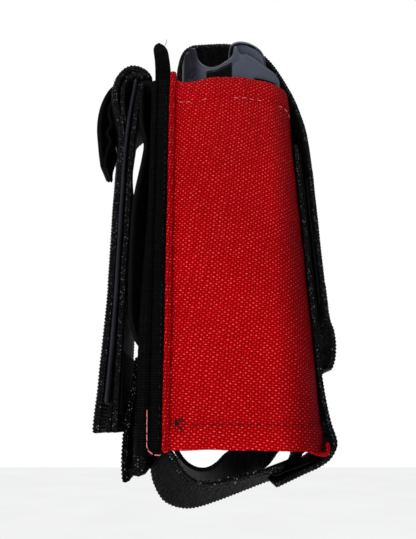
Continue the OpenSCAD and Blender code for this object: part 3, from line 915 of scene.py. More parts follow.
top_st = stitches("top_hem_stitches", sleeve_line(132.6, 6, M_S - 6), TH_PINK, pitch=3.2, gap=1.0, r=0.13, lift=0.16, skip=0.35)
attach(top_st, "pouch")
bot_st = stitches("bottom_hem_stitches", sleeve_line(8.6, 6, M_S - 6), TH_RED, pitch=3.1, gap=0.9, r=0.17, lift=0.14)
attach(bot_st, "pouch")


# seam flanges: the sleeve's side edges, folded round and stitched to the panel
def make_flange(side):
    prof = []
    for k in range(20):
        th = 2 * math.pi * k / 20
        c, s = math.cos(th), math.sin(th)
        prof.append((26.4 + 1.95 * abs(c) ** 0.7 * (1 if c > 0 else -1), -6.05 + 1.28 * abs(s) ** 0.75 * (1 if s > 0 else -1)))
    rows = 200
    verts, uvs, faces = [], [], []
    per = [0.0]
    for a, b in zip(prof, prof[1:] + prof[:1]):
        per.append(per[-1] + math.dist(a, b))
    for i in range(rows + 1):
        z = -1.0 + 147.2 * i / rows
        f = z / 146
        wx = 0.30 * nz(z, side, 0, 0.06, 2) + 0.16 * math.sin(z / 1.35 + nz(z, 0, 0, 0.1))
        wy = 0.26 * nz(z, side, 4, 0.05, 8) - 0.5 * sm(132, 146, z)
        e = min(z + 1.0, 146.2 - z)
        sc = 1.0 if e > 1.2 else 0.35 + 0.65 * math.sqrt(max(0, 1 - (1 - e / 1.2) ** 2))
        for k, (x, y) in enumerate(prof):
            xx = 26.4 + (x - 26.4) * sc
            yy = -6.05 + (y + 6.05) * sc
            verts.append(W(side * (xx + wx * 0.6), yy + wy, z))
            uvs.append((per[k] / 1000, z / 1000))
    K = len(prof)
    for i in range(rows):
        for k in range(K):
            k2 = (k + 1) % K
            faces.append((i * K + k, i * K + k2, (i + 1) * K + k2, (i + 1) * K + k))
    faces.append(tuple(range(K)))
    faces.append(tuple(rows * K + k for k in reversed(range(K))))
    ob = outward(mesh_object(f"seam_fold_{'left' if side < 0 else 'right'}", verts, faces, uvs, RED_SEAM))
    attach(ob, "pouch")
    return ob


make_flange(-1)
make_flange(1)


# the front bottom corners of the cloth turn under
def corner_fold(side):
    path = smooth([(-52.5, 1.4), (-57.0, -0.9), (-60.6, -1.9), (-62.2, -0.6), (-62.3, 2.2)], 6)
    ob = strap(f"corner_fold_{'left' if side < 0 else 'right'}", path, 4.6, 1.3, RED, ds=0.5, cols=6, xc=side * 19.5, wave=0.3, seed=3 + side,
               taper=lambda f: 0.55 + 0.45 * math.sin(math.pi * min(1, f * 1.2)) ** 0.5)
    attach(ob, "pouch")
    return ob


corner_fold(-1)
corner_fold(1)


# ---------------------------------------------------------------- back panel
def slab(name, x0, x1, y0, y1, z0, z1, mat, node, r=0.5, seed=0.0, nx=26, nzr=60, puff=0.25):
    """A cloth-covered slab with soft edges and a slightly uneven face."""
    verts, uvs, faces = [], [], []
    for sgn, y in ((-1, y0), (1, y1)):
        for i in range(nzr + 1):
            for j in range(nx + 1):
                u, v = j / nx, i / nzr
                x, z = x0 + (x1 - x0) * u, z0 + (z1 - z0) * v
                e = min(x - x0, x1 - x, z - z0, z1 - z)
                k = 1 - sm(0, 1.2, e)
                yy = y - sgn * k * min(r, (y1 - y0) * 0.35)
                yy += -sgn * puff * 0.4 * (0.5 + 0.5 * nz(x, z, sgn, 0.06, seed)) * (1 - k)
                verts.append(W(x, yy, z))
                uvs.append((x / 1000, z / 1000))
    n = (nx + 1) * (nzr + 1)
    for s in (0, 1):
        for i in range(nzr):
            for j in range(nx):
                a = s * n + i * (nx + 1) + j
                faces.append((a, a + 1, a + nx + 2, a + nx + 1))
    rim = [j for j in range(nx + 1)] + [i * (nx + 1) + nx for i in range(1, nzr + 1)] + \
          [nzr * (nx + 1) + j for j in range(nx - 1, -1, -1)] + [i * (nx + 1) for i in range(nzr - 1, 0, -1)]
    for a, b in zip(rim, rim[1:] + rim[:1]):
        faces.append((a, b, b + n, a + n))
    ob = outward(mesh_object(name, verts, faces, uvs, mat))
    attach(ob, "pouch")
    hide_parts(node)
    return ob


slab("panel_lining", -23.5, 23.5, -4.38, -3.22, 0.2, 140, LINING, "back_panel_lining", seed=1)
slab("panel_cover", -23.5, 23.5, -1.18, 0.0, 0.2, 140, PLAIN_BLACK, "back_panel_cover", seed=2)
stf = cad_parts["back_stiffener"]
stf.data.materials.clear()
stf.data.materials.append(STIFF_PALE)


def make_binding(side):
    """Tape folded over the panel's edge, and its free upper end, which leans back."""
    prof = [(-21.3, -5.0), (-24.2, -5.15), (-26.8, -5.05), (-28.1, -4.3), (-28.4, -2.6), (-28.2, -1.2), (-27.5, -0.62), (-27.3, -0.45), (-27.9, -0.1), (-28.3, 0.5),
            (-28.1, 1.3), (-27.0, 1.9), (-24.6, 2.0), (-21.3, 1.3)]
    prof = smooth([(a, b) for a, b in prof], 4)
    rows = 210
    K = len(prof)
    verts, uvs, faces = [], [], []
    per = [0.0]
    for a, b in zip(prof, prof[1:]):
        per.append(per[-1] + math.dist(a, b))
    for i in range(rows + 1):
        z = -2.0 + 143.0 * i / rows
        for k, (x, y) in enumerate(prof):
            d = 0.22 * nz(z, k * 0.7, side, 0.09, 4) + 0.07 * math.sin(2 * math.pi * z / 0.95)
            if y > -0.5:
                y = -0.5 + (y + 0.5) * (0.95 + 0.85 * sm(96, 34, z))
            cx, cy = -23.5, -2.0
            L = math.hypot(x - cx, y - cy)
            xx, yy = x + (x - cx) / L * d, y + (y - cy) / L * d
            verts.append(W(-side * xx * 1.0 if side > 0 else xx, yy, z))
            uvs.append((per[k] / 1000, z / 1000))
    for i in range(rows):
        for k in range(K - 1):
            faces.append((i * K + k, i * K + k + 1, (i + 1) * K + k + 1, (i + 1) * K + k))
    name = "binding_left" if side < 0 else "binding_right"
    ob = mesh_object(name, verts, faces, uvs, TAPE)
    so = ob.modifiers.new("tape", "SOLIDIFY")
    so.thickness = 0.0007
    so.offset = 0.0
    # free end above the rim: the tape's tail, doubled
    path = smooth([(-1.9, 134), (-2.4, 141), (-2.2, 147), (-1.4, 153), (-0.5, 157.6), (-0.2, 159.6)], 6)
    ear = strap(name + "_end", path, 5.4, 6.4, TAPE, rib=(0.95, 0.05), ds=0.35, cols=10, xc=side * 25.2, wave=0.4, seed=5 + side, blunt=False,
                taper=lambda f: 1.0 - 0.30 * sm(0.8, 1.0, f))
    # thin it towards the tip and round it off
    for v in ear.data.vertices:
        z = (v.co.z - Z0) * 1000
        cy = lut([(p[1], p[0]) for p in path], z)
        f = sm(140, 159.6, z)
        k = 1.0 - 0.10 * f
        if z > 155.0:
            k *= math.sqrt(max(0.02, 1 - ((z - 155.0) / 4.8) ** 2))
        v.co.y = Y0 + (cy + ((v.co.y - Y0) * 1000 - cy) * k) / 1000
    for o, nodes in ((ob, [f"edge_binding_{'left' if side < 0 else 'right'}"]), (ear, [])):
        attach(o, "pouch")
        if nodes:
            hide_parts(*nodes)
    # stitches that hold the tape and the sleeve's seam
    st = stitches(name + "_stitches", [((side * 28.35, -3.9 + 0.25 * nz(z, 0, 0, 0.1, 6), z), (side, 0, 0)) for z in range(3, 136, 2)], TH_BLACK,
                  pitch=2.4, gap=1.2, r=0.24, lift=0.20, skip=0.3)
    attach(st, "pouch")


make_binding(-1)
make_binding(1)

# loose thread at the tape's tip, pale box-stitch thread at the panel's foot, black tack on the sleeve
lt = tube("loose_thread", smooth([(-27.0, -2.2, 157.4), (-27.4, -3.0, 158.9), (-27.3, -3.4, 160.2), (-27.0, -3.2, 161.6)], 5), 0.10, TH_BLACK, 5)
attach(lt, "pouch")
pk = stitches("foot_thread", [((-28.6, 0.2 - 0.02 * k, 13.5 - 0.9 * k), (-1, 0.1, 0)) for k in range(15)] +
              [((-28.5, -0.6, -0.3), (-1, 0, -0.4)), ((-28.4, -2.4, -1.4), (-1, 0, -0.5)), ((-28.4, -4.6, -1.7), (-1, 0, -0.5)), ((-28.3, -6.4, -1.0), (-1, 0, -0.4))],
              TH_PINK, pitch=2.6, gap=0.1, r=0.20, lift=0.18, jitter=0.2)
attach(pk, "pouch")


def slv_pt(y, z, side=-1, lift=0.0):
    """A point on the sleeve's side face at depth y and height z."""
    i = min(range(len(SLZ)), key=lambda q: abs(SLZ[q] - z))
    rng = range(0, HALF) if side < 0 else range(HALF, M_S)
    j = min(rng, key=lambda q: abs(SLV[i][q][1] - y))
    x, yy, zz, u, v = SLV[i][j]
    return (x + side * lift, yy, zz)


tk = []
for a, b in (((-9.2, 10.6), (-9.2, 6.6)), ((-9.4, 8.6), (-11.4, 10.8)), ((-9.4, 8.8), (-11.8, 6.4)), ((-10.6, 9.6), (-12.4, 9.0))):
    p, q = slv_pt(*a, lift=0.5), slv_pt(*b, lift=0.5)
    mid = tuple((u + v) / 2 - (0.3 if k == 0 else 0) for k, (u, v) in enumerate(zip(p, q)))
    tk.append(tube("tack", [tuple(u + 0.8 * (k == 0) for k, u in enumerate(p)), p, mid, q, tuple(u + 0.8 * (k == 0) for k, u in enumerate(q))], 0.20, TH_BLACK, 6))
tack = join("sleeve_tack", tk)
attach(tack, "pouch")

# ---------------------------------------------------------------- front webbing and patches
FW = [(apex(z) - 0.95, z) for z in (118, 100, 80, 60, 40, 24)] + [(apex(14) - 1.5, 14), (apex(8) - 2.2, 8), (-64.7, 3.0)]
fw_path = list(reversed(smooth(FW, 6)))      # bottom to top: the right-hand side is then +y, so it is turned round
fw_path = smooth(FW, 6)


def hug(x):
    """The webbing follows the sleeve's round front: extra y across the width."""
    return 0.0016 * x * x


FT = FW[:-1] + [(-65.2, 3.0), (-64.8, 0.2), (-62.6, -3.0), (-58.6, -5.6), (-53, -8.0), (-48, -10.2), (-43.6, -12.2)]
tail_f = 118.0
front_web = strap("front_web_body", smooth(FT, 8), 37.6, 2.1, RIB, rib=(1.3, 0.13), ds=0.30, cols=14, seed=1,
                  yaw=lambda f, x: hug(x) * (1 - sm(0.60, 0.80, f)), picks=3)
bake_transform(front_web)
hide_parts("front_webbing", "tail_strap")
lp = strap("front_loop_field", smooth([(apex(z) - 2.3, z) for z in (115.5, 100, 80, 60, 40, 26)], 6), 35.5, 0.9, PILE, ds=1.0, cols=12, seed=2,
           yaw=lambda f, x: hug(x))
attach(lp, "pouch")
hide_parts("front_loop_patch")
for sx in (-1, 1):
    o = stitches(f"front_web_stitches_{'a' if sx < 0 else 'b'}", [((sx * 17.2, apex(z) - 2.0 + hug(17.2), z), (0, -1, 0)) for z in range(28, 116, 3)], TH_BLACK, pitch=3.2, gap=0.8, r=0.24)
    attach(o, "pouch")

th = strap("tail_hook", smooth([(-57.4, -4.3), (-53, -5.9), (-48, -7.6), (-43.8, -9.1)], 6), 35, 0.8, HOOK, ds=0.8, cols=8, seed=6)
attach(th, "tail")
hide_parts("tail_hook_patch")

# ---------------------------------------------------------------- closure flap
rise = smooth([(-5.55, 84), (-5.55, 96), (-5.6, 108), (-6.3, 120), (-7.7, 134), (-8.2, 146), (-8.5, 154), (-10.1, 160.6), (-13.6, 164.0),
               (-20, 164.7), (-28, 164.9), (-35, 164.1), (-40.0, 162.2)], 8)
top_strap = strap("closure_strap_top", list(reversed(rise)), 37.6, 2.1, RIB, rib=(1.3, 0.17), ds=0.30, cols=14, seed=7, picks=3)
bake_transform(top_strap)
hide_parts("riser_strap", "flap_top")

drop_c = smooth([(-40.0, 162.2), (-42.6, 160.6), (-45.2, 158.0), (-48.5, 153.4), (-52.9, 145.1), (-56.6, 136.4), (-59.5, 126.2), (-60.9, 116),
                 (-61.8, 104), (-62.6, 88), (-63.5, 70), (-64.1, 60.0)], 8)
front_flap = strap("closure_strap_front", drop_c, 37.6, 2.1, RIB, rib=(1.3, 0.17), ds=0.30, cols=14, seed=8, picks=3, blunt=False)
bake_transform(front_flap)
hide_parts("flap_front")

tip_c = smooth([(-64.1, 60.0), (-64.6, 52.4), (-65.2, 46.2), (-66.4, 42), (-66.9, 37), (-66.2, 31.5), (-64.7, 27.6)], 8)
tip = strap("closure_strap_tip", tip_c, 37.6, 2.3, RIB, rib=(1.3, 0.17), ds=0.30, cols=14, seed=9, picks=3)
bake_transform(tip)
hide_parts("flap_tip")
fh = strap("flap_hook_field", smooth([(lut([(p[1], p[0]) for p in reversed(drop_c)], z) + 1.55, z) for z in (103.5, 96, 88, 80, 70, 62)] + [(-62.9, 52)], 6),
           34.6, 0.8, HOOK, ds=1.0, cols=8, seed=3)
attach(fh, "flap_drop")
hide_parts("flap_hook_patch")

# bar tacks on the riser; the keeper's are made with the keeper
rt = []
for z in (86.8, 95.8, 104.8):
    for k in range(14):
        x = -13.0 + 2.0 * k
        rt.append(tube("rt", [(x - 0.7, -6.9, z - 0.7), (x, -7.25, z), (x + 0.7, -6.9, z + 0.7)], 0.3, TH_BLACK, 5))
o = join("riser_tacks", rt)
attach(o, "pouch")
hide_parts("riser_bar_tacks")

# ---------------------------------------------------------------- bottom sling
# the sling hangs in a curve whose far edge is the lower one, so its ribbed outer face shows from the near side
NEAR = smooth([(2.6, 24), (2.3, 12), (-0.6, 4.0), (-5.4, 0.6), (-8.0, -2.0), (-10.0, -5.8), (-12.5, -8.6), (-15.4, -10.7), (-18.8, -11.7), (-22.6, -11.7),
               (-27.4, -10.8), (-33.4, -9.4), (-40.0, -7.7), (-46.0, -6.0), (-51.4, -3.4), (-54.6, 0.4), (-55.4, 6), (-55.4, 13.4)], 8)
FAR = smooth([(2.6, 24), (2.6, 12), (2.9, 2.0), (2.8, -4.6), (2.2, -11.4), (0.6, -16.0), (-2.6, -20.8), (-7.0, -23.1), (-11.9, -23.9), (-17.0, -23.2),
              (-23.4, -21.2), (-31.6, -18.2), (-40.0, -15.1), (-46.5, -12.7), (-53.0, -8.6), (-55.4, -2.0), (-55.6, 6), (-55.6, 13.4)], 8)


def ruled(name, near, far, x0, x1, t, mat, rib, n=520, cols=14, seed=0.0, bulge=0.8):
    """A strap stretched between two edge curves, ribbed across."""
    A, sa = resample(near, 0.25)
    B, sb = resample(far, 0.25)
    verts, uvs, faces = [], [], []
    mid = []
    for i in range(n + 1):
        f = i / n
        a = A[min(len(A) - 1, int(round(f * (len(A) - 1))))]
        b = B[min(len(B) - 1, int(round(f * (len(B) - 1))))]
        mid.append((Vector((x0, *a)), Vector((x1, *b))))
    ring = [(-math.cos(math.pi * j / cols) * 0.55 + 0.45 * (2 * j / cols - 1), 1) for j in range(cols + 1)]
    ring = ring + [(u, -1) for u, _ in reversed(ring)]
    K = len(ring)
    total = (sa[-1] + sb[-1]) / 2
    skin = []
    for i in range(n + 1):
        a, b = mid[i]
        a0, b0 = mid[max(0, i - 2)]
        a1, b1 = mid[min(n, i + 2)]
        s = total * i / n
        ph = math.sin(2 * math.pi * s / rib[0])
        e = min(s, total - s)
        er = 1.0 if e > 0.8 else 0.2 + 0.8 * math.sqrt(max(0, 1 - (1 - e / 0.8) ** 2))
        rowp = []
        for u, side in ring:
            g = (u + 1) / 2
            p = a.lerp(b, g)
            T = (a1.lerp(b1, g) - a0.lerp(b0, g)).normalized()
            R = (b - a).normalized()
            N = T.cross(R).normalized()
            prof = (1 - abs(u) ** 9) ** 0.5 * 0.8 + 0.2
            h = side * t / 2 * prof * er + side * rib[1] * ph * (0.3 + 0.7 * prof)
            h += bulge * (1 - u * u) + 0.3 * nz(s, u * 3, seed, 0.06, seed)
            rowp.append(p + N * h + R * (0.12 * ph * (1 if u > 0 else -1) if abs(u) > 0.93 else 0.0))
            uvs.append(((u * (x1 - x0) / 2 + (0 if side > 0 else 80)) / 1000, s / 1000))
        skin.append(rowp)
        verts += [W(*p) for p in rowp]
    for i in range(n):
        for q in range(K):
            q2 = (q + 1) % K
            faces.append((i * K + q, i * K + q2, (i + 1) * K + q2, (i + 1) * K + q))
    for base in (0, n * K):
        for j in range(cols):
            faces.append((base + j, base + j + 1, base + K - 2 - j, base + K - 1 - j))
    return outward(mesh_object(name, verts, faces, uvs, mat))


sling = ruled("sling_outer", NEAR, FAR, -16.9, 16.9, 2.1, RIB_PAINTED_SHADE, (1.28, 0.20), seed=12)
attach(sling, "pouch")
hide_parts("bottom_sling")
LN = smooth([(-5.6, 12), (-6.2, 5), (-8.4, 0.6), (-10.6, -2.8), (-13.4, -5.4), (-16.8, -6.8), (-20.4, -6.7), (-23.8, -4.8), (-26.6, -2.0), (-29.8, -0.2), (-36, 0.4), (-43, 0.4), (-47.5, 0.4)], 8)
LF = smooth([(-5.6, 12), (-5.6, 3), (-7.6, -3.0), (-9.6, -7.4), (-13.0, -11.0), (-17.5, -13.4), (-23.0, -14.2), (-29.0, -13.8), (-35, -12.6), (-40, -10.6), (-44.6, -7.4), (-47.5, -3.5)], 8)
liner = ruled("sling_inner", LN, LF, -15.2, 15.2, 1.6, LINER_PAINTED_SHADE, (1.2, 0.05), n=300, seed=13, bulge=0.5)
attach(liner, "pouch")
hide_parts("sling_liner")
# corded selvedge along the sling's near edge, with its weft loops
sp, sps = resample(NEAR, 0.5)
cord_pts = [(-17.0, y, z) for (y, z), q in zip(sp, sps) if 26 < q < sps[-1] - 22]
sel = tube("sling_selvedge", cord_pts, 0.75, WEB, 8)
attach(sel, "pouch")
kv = []
for col in range(3):
    for q in range(0, len(cord_pts) - 2, 2):
        x, y, z = cord_pts[q]
        y2, z2 = cord_pts[q + 1][1:]
        L = math.hypot(y2 - y, z2 - z) or 1
        ny, nz_ = (z2 - z) / L, -(y2 - y) / L
        off = (col - 1) * 0.95 + rnd.uniform(-0.2, 0.2)
        kv.append((x - 0.45 + rnd.uniform(-0.1, 0.1), y - ny * off + rnd.uniform(-0.2, 0.2), z - nz_ * off + rnd.uniform(-0.2, 0.2), rnd.random()))
bv, bf, bu = [], [], []
for x, y, z, tone in kv:
    b0 = len(bv)
    r = rnd.uniform(0.26, 0.42)
    bv.append(W(x - r, y, z)); bu.append((tone, 0))
    for lat, rr in ((0.55, 0.8), (0.0, 1.0)):
        for e in range(8):
            th_ = 2 * math.pi * e / 8
            bv.append(W(x - r * lat, y + r * rr * math.cos(th_), z + r * rr * math.sin(th_))); bu.append((tone, 0))
    for e in range(8):
        e2 = (e + 1) % 8
        bf.append((b0, b0 + 1 + e, b0 + 1 + e2))
        bf.append((b0 + 1 + e, b0 + 9 + e, b0 + 9 + e2, b0 + 1 + e2))
    bf.append(tuple(b0 + 9 + e for e in range(8)))
kn = outward(mesh_object("sling_loops", bv, bf, bu, KNUCKLE))
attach(kn, "pouch")

rt_c = smooth([(5.2, 32), (6.4, 20), (8.0, 9), (8.6, 0), (8.5, -6), (8.0, -11.2)], 8)
rear = strap("rear_tab_outer", rt_c, 37.4, 2.6, RIB_PAINTED_SHADE, rib=(1.3, 0.22), ds=0.30, cols=14, seed=14, rib_skew=0.6, picks=3,
             yaw=lambda f, x: 0.05 * (x + 19) * sm(0.1, 0.6, f))
rear2 = strap("rear_tab_inner", smooth([(3.2, 30), (3.4, 18), (3.9, 8), (4.0, 0), (3.8, -5), (3.4, -9.2)], 8), 37.0, 4.6, RIB, rib=(1.3, 0.18), ds=0.33, cols=12, seed=15, picks=3,
              rib_skew=0.5, yaw=lambda f, x: 0.04 * (x + 19) * sm(0.2, 0.7, f))
rear = join("rear_tab_web", [rear, rear2])
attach(rear, "pouch")
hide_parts("rear_tab")


# ---------------------------------------------------------------- belt loop
def loop_yaw(s_top):
    """The loop straps lie a little askew: their far edges stand further back."""
    return lambda f, x: (x + 22) * (0.03 + 0.135 * sm(0.68 * s_top, 0.79 * s_top, f)) * (1 - sm(s_top, 1.0, f) * 0.9)


kp = smooth([(1.3, 126), (1.3, 139), (2.4, 143.6), (4.9, 145.2), (7.0, 142.8), (7.0, 134), (6.6, 126), (5.2, 120), (4.6, 116.4), (5.3, 110.3), (6.4, 103.4), (7.5, 97),
             (8.5, 88), (8.7, 70), (8.6, 56), (7.8, 45.4), (5.2, 37.6), (1.6, 34.4)], 8)
keeper = strap("keeper_web", kp, 43.6, 2.2, PILE, ds=0.7, cols=14, seed=16, wave=0.10, yaw=lambda f, x: -(x + 22) * 0.06 * sm(0.10, 0.3, f) * sm(1.0, 0.9, f))
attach(keeper, "pouch")
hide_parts("keeper_strap")
kt = []
for z in (130.8, 134.8):
    for k in range(16):
        x = -15.0 + 2.0 * k
        kt.append(tube("kt", [(x - 0.7, 2.55, z - 0.7), (x, 2.95, z), (x + 0.7, 2.55, z + 0.7)], 0.3, TH_BLACK, 5))
o = join("keeper_tacks", kt)
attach(o, "pouch")
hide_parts("keeper_bar_tacks")

YAW = loop_yaw(0.93)
lo_c = smooth([(18.6, 5.2), (18.3, 12), (17.5, 22), (16.9, 34), (16.0, 50), (15.6, 68), (15.3, 88), (14.5, 106), (14.0, 116), (14.6, 124), (16.4, 131), (17.8, 138.6), (17.0, 145.8),
               (14.4, 150.2), (11.3, 152.0), (7.6, 151.2), (5.2, 149.3), (3.9, 147.2)], 8)
outer = strap("loop_web_outer", lo_c, 43.6, 2.9, RIB, rib=(1.3, 0.16), ds=0.30, cols=16, seed=17, yaw=loop_yaw(0.80), pick=0.05, picks=3, wave=0.1)
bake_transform(outer)
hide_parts("loop_outer_web")
fold_c = smooth([(13.4, 126.0), (14.4, 134), (14.6, 141.5), (13.2, 146.6), (10.8, 149.0), (8.0, 148.9), (6.2, 147.2)], 8)
fold = strap("loop_web_fold", fold_c, 43.0, 2.3, RIB, rib=(1.3, 0.16), ds=0.30, cols=14, seed=18, yaw=lambda f, x: (x + 22) * 0.155 * (1 - 0.95 * sm(0.2, 1.0, f)), picks=3)
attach(fold, "belt_loop")
stiff_c = smooth([(9.4, 146.2), (10.6, 137), (11.9, 125.4), (12.7, 112), (13.2, 96.5), (13.5, 80), (13.9, 54), (14.7, 32), (15.6, 15.2)], 8)
stiff = strap("loop_stiff_sheet", list(reversed(stiff_c)), 44.8, 1.5, STIFF_GREY, ds=1.2, cols=10, seed=19, wave=0.05, yaw=YAW,
              taper=lambda f: 1.0)
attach(stiff, "belt_loop")
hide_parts("loop_stiffener")
li_c = smooth([(12.0, 5.4), (12.0, 14), (11.9, 24), (11.6, 38), (11.4, 54), (11.1, 72), (10.7, 88), (10.4, 104), (9.9, 118), (9.0, 130), (7.9, 140), (7.0, 145.2)], 8)
inner = strap("loop_web_inner", li_c, 43.6, 2.4, WEB, rib=(1.3, 0.13), ds=0.30, cols=16, seed=20, yaw=YAW, pick=0.05, picks=3, wave=0.1)
li2_c = smooth([(14.6, 5.4), (14.2, 10), (13.9, 15.6)], 6)
inner2 = strap("loop_web_inner2", li2_c, 43.0, 2.0, WEB, rib=(1.3, 0.12), ds=0.30, cols=14, seed=21, picks=2)
inner = join("loop_web_inner", [inner, inner2])
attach(inner, "belt_loop")
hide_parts("loop_inner_web")
hkp = strap("loop_hook_field", smooth([(10.2, 34), (10.35, 26), (10.5, 12)], 4), 40, 0.6, HOOK, ds=1.0, cols=8, seed=22, wave=0.0)
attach(hkp, "belt_loop")
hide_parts("loop_hook_patch")

# hooked loose end outside the loop's shoulder: a smooth outer tape with a frayed inner layer
tab_o = smooth([(17.6, 146.0), (20.4, 143.6), (22.9, 138.2), (24.2, 132.0), (24.4, 125.4), (23.6, 118.6), (22.9, 113.2), (22.2, 108.6)], 8)
tab = strap("loop_tab_outer", list(reversed(tab_o)), 17.0, 2.1, TAB_TAPE, ds=0.5, cols=10, seed=23, xc=-9.5,
            taper=lambda f: 0.86 + 0.14 * sm(0, 0.2, f))
tab_i = smooth([(18.6, 140.2), (20.6, 136.4), (20.8, 133.4), (20.4, 131.0), (19.4, 128.4), (20.6, 125.8), (21.0, 123.6), (19.6, 120.6), (20.4, 117.4), (21.4, 112.4), (21.2, 108.8)], 8)
tab2 = strap("loop_tab_inner", list(reversed(tab_i)), 15.6, 1.7, TAB_TAPE, ds=0.5, cols=10, seed=24, xc=-9.5)
tab = join("loop_tab_web", [tab, tab2])
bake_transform(tab)
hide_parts("loop_pull_tab")


# ---------------------------------------------------------------- cartridge
TOP_EDGE = [(-9.5, 149.6), (-9.8, 152.4), (-10.8, 155.0), (-12.2, 156.8), (-13.9, 157.9), (-15.2, 158.0), (-15.6, 156.6), (-16.0, 154.4), (-17.0, 151.8),
            (-18.6, 149.9), (-20.4, 148.8), (-22.4, 148.5), (-24.4, 149.1), (-27.0, 150.8), (-29.2, 152.6), (-30.8, 155.0), (-31.4, 157.4), (-31.2, 159.6)]
STEP_EDGE = [(-31.2, 159.6), (-32.2, 157.7), (-33.6, 155.8), (-35.0, 154.9), (-36.4, 155.2), (-38.2, 154.4), (-40.6, 153.0), (-43.2, 151.2),
             (-46.2, 149.9), (-48.6, 148.9), (-50.2, 147.2), (-51.0, 144.6), (-51.5, 141.0), (-51.7, 138.6)]
edge_z = [(y, z) for y, z in reversed(smooth(TOP_EDGE, 4)[:-1] + smooth(STEP_EDGE, 4))]
edge_z = sorted(p for p in edge_z if p[0] < -31.25 or p[0] > -31.15) + []
edge_z = sorted(edge_z)


def wall_top(y):
    return lut(edge_z, y)


def case_outline(off):
    """Right half of the cartridge's plan, front apex first, to the rear corner and into the strap groove."""
    r = sleeve_ring(SLEEVE_H, 3.0 + off)
    side = [(x, y) for x, y, _, _ in reversed(r) if y <= -9.9 - 2.2 - off]
    xr = side[-1][0]
    rr = 2.2
    corner = []
    for k in range(7):
        th = math.pi / 2 * k / 6
        corner.append((xr - rr + rr * math.cos(th), -9.9 - off - rr + rr * math.sin(th)))
    back = [(20.6 + off + 0.6, -9.9 - off), (20.6 + off, -10.6 - off), (20.6 + off, -16.2 - off), (19.9 + off, -17.0 - off), (0.0, -17.0 - off)]
    return side, corner, back


def case_half(sx, name, node):
    """One moulded half shell: an outer wall, a rounded rim and an inner wall, as one closed skin."""
    side, corner, back = case_outline(0.0)
    line = resample(side + corner, 0.42)[0]
    tail_ = resample([line[-1]] + back, 0.9)[0][1:]
    path = line + tail_
    n_side = len(line)
    n = len(path)
    nor = []
    for i in range(n):
        a, b = path[max(i - 1, 0)], path[min(i + 1, n - 1)]
        tx, ty = b[0] - a[0], b[1] - a[1]
        L = math.hypot(tx, ty) or 1
        nor.append((-ty / L, tx / L))      # to be checked against the middle
    cx, cy = 8.0, -30.0
    verts, uvs, faces = [], [], []
    cols = []
    acc = 0.0
    for i, (x, y) in enumerate(path):
        nx, ny = nor[i]
        if i < n_side:
            if nx * (x - cx) + ny * (y - cy) < 0:
                nx, ny = -nx, -ny
        else:
            if ny < 0 and abs(ny) > 0.3:
                nx, ny = -nx, -ny
            if abs(ny) <= 0.3:
                nx, ny = -abs(nx), ny
        if i:
            acc += math.dist(path[i - 1], (x, y))
        if i < n_side - 2:
            zt = wall_top(y)
        elif i < n_side + 8 and x > 21.0:
            zt = wall_top(-9.9)
        elif x > 20.9:
            zt = 150.0
        else:
            zt = 132.0
        col = []
        zs = [5.0 + (118 - 5.0) * k / 22 for k in range(22)]
        zs += [118 + (zt - 1.3 - 118) * (k / 60) ** 0.9 for k in range(61)]
        r = 0.85
        rim = [(r * (1 - math.cos(math.pi / 2 * k / 5)), zt - 1.3 + 1.3 * math.sin(math.pi / 2 * k / 5)) for k in range(1, 6)]
        inn = [(2.2 - r * (1 - math.cos(math.pi / 2 * k / 5)), zt - 1.3 + 1.3 * math.sin(math.pi / 2 * k / 5)) for k in range(4, -1, -1)]
        pts = [(0.0, z) for z in zs] + rim + inn + [(2.2, max(12.0, zt - 6)), (2.2, 12.0)]
        for (ins, z) in pts:
            d = -ins
            if ins == 0.0 or ins < 0.4:
                d += relief(sx, x, y, z, zt, i < n_side)
            # the halves meet in a fine parting line
            e = abs(x)
            if e < 0.9 and ins < 1.0:
                d -= 0.35 * (1 - e / 0.9)
            col.append((x + nx * d, y + ny * d, z))
        cols.append((col, acc))
    K = len(cols[0][0])
    for col, s in cols:
        for (x, y, z) in col:
            verts.append(W(sx * max(0.0, x), y, z))
            uvs.append((s / 1000, z / 1000))
    for i in range(len(cols) - 1):
        for k in range(K - 1):
            faces.append((i * K + k, (i + 1) * K + k, (i + 1) * K + k + 1, i * K + k + 1))
        faces.append((i * K + K - 1, (i + 1) * K + K - 1, (i + 1) * K, i * K))
    for base in (0, (len(cols) - 1) * K):
        faces.append(tuple(base + k for k in range(K)))
    ob = outward(mesh_object(name, verts, faces, uvs, CASE))
    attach(ob, "cartridge")
    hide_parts(node)
    return ob


U_LINE = [(y, z) for y, z in smooth(TOP_EDGE, 6)]
U_PART = [p for p in U_LINE if p[0] < -14.4]
GROOVE_A = smooth([(-12.6, 143.6), (-13.5, 145.8), (-14.9, 147.1), (-16.4, 147.9), (-17.6, 148.6)], 6)
GROOVE_B = smooth([(-14.0, 143.2), (-15.5, 145.6), (-17.6, 146.7), (-20.3, 147.0), (-24.0, 147.6), (-26.8, 149.0), (-29.5, 150.6), (-32.9, 152.4), (-34.6, 153.0)], 6)


def seg_dist(y, z, line):
    best = 1e9
    for (a, b), (c, d) in zip(line, line[1:]):
        vy, vz = c - a, d - b
        L = vy * vy + vz * vz or 1e-9
        t = max(0.0, min(1.0, ((y - a) * vy + (z - b) * vz) / L))
        q = math.hypot(y - a - t * vy, z - b - t * vz)
        if q < best:
            best = q
    return best


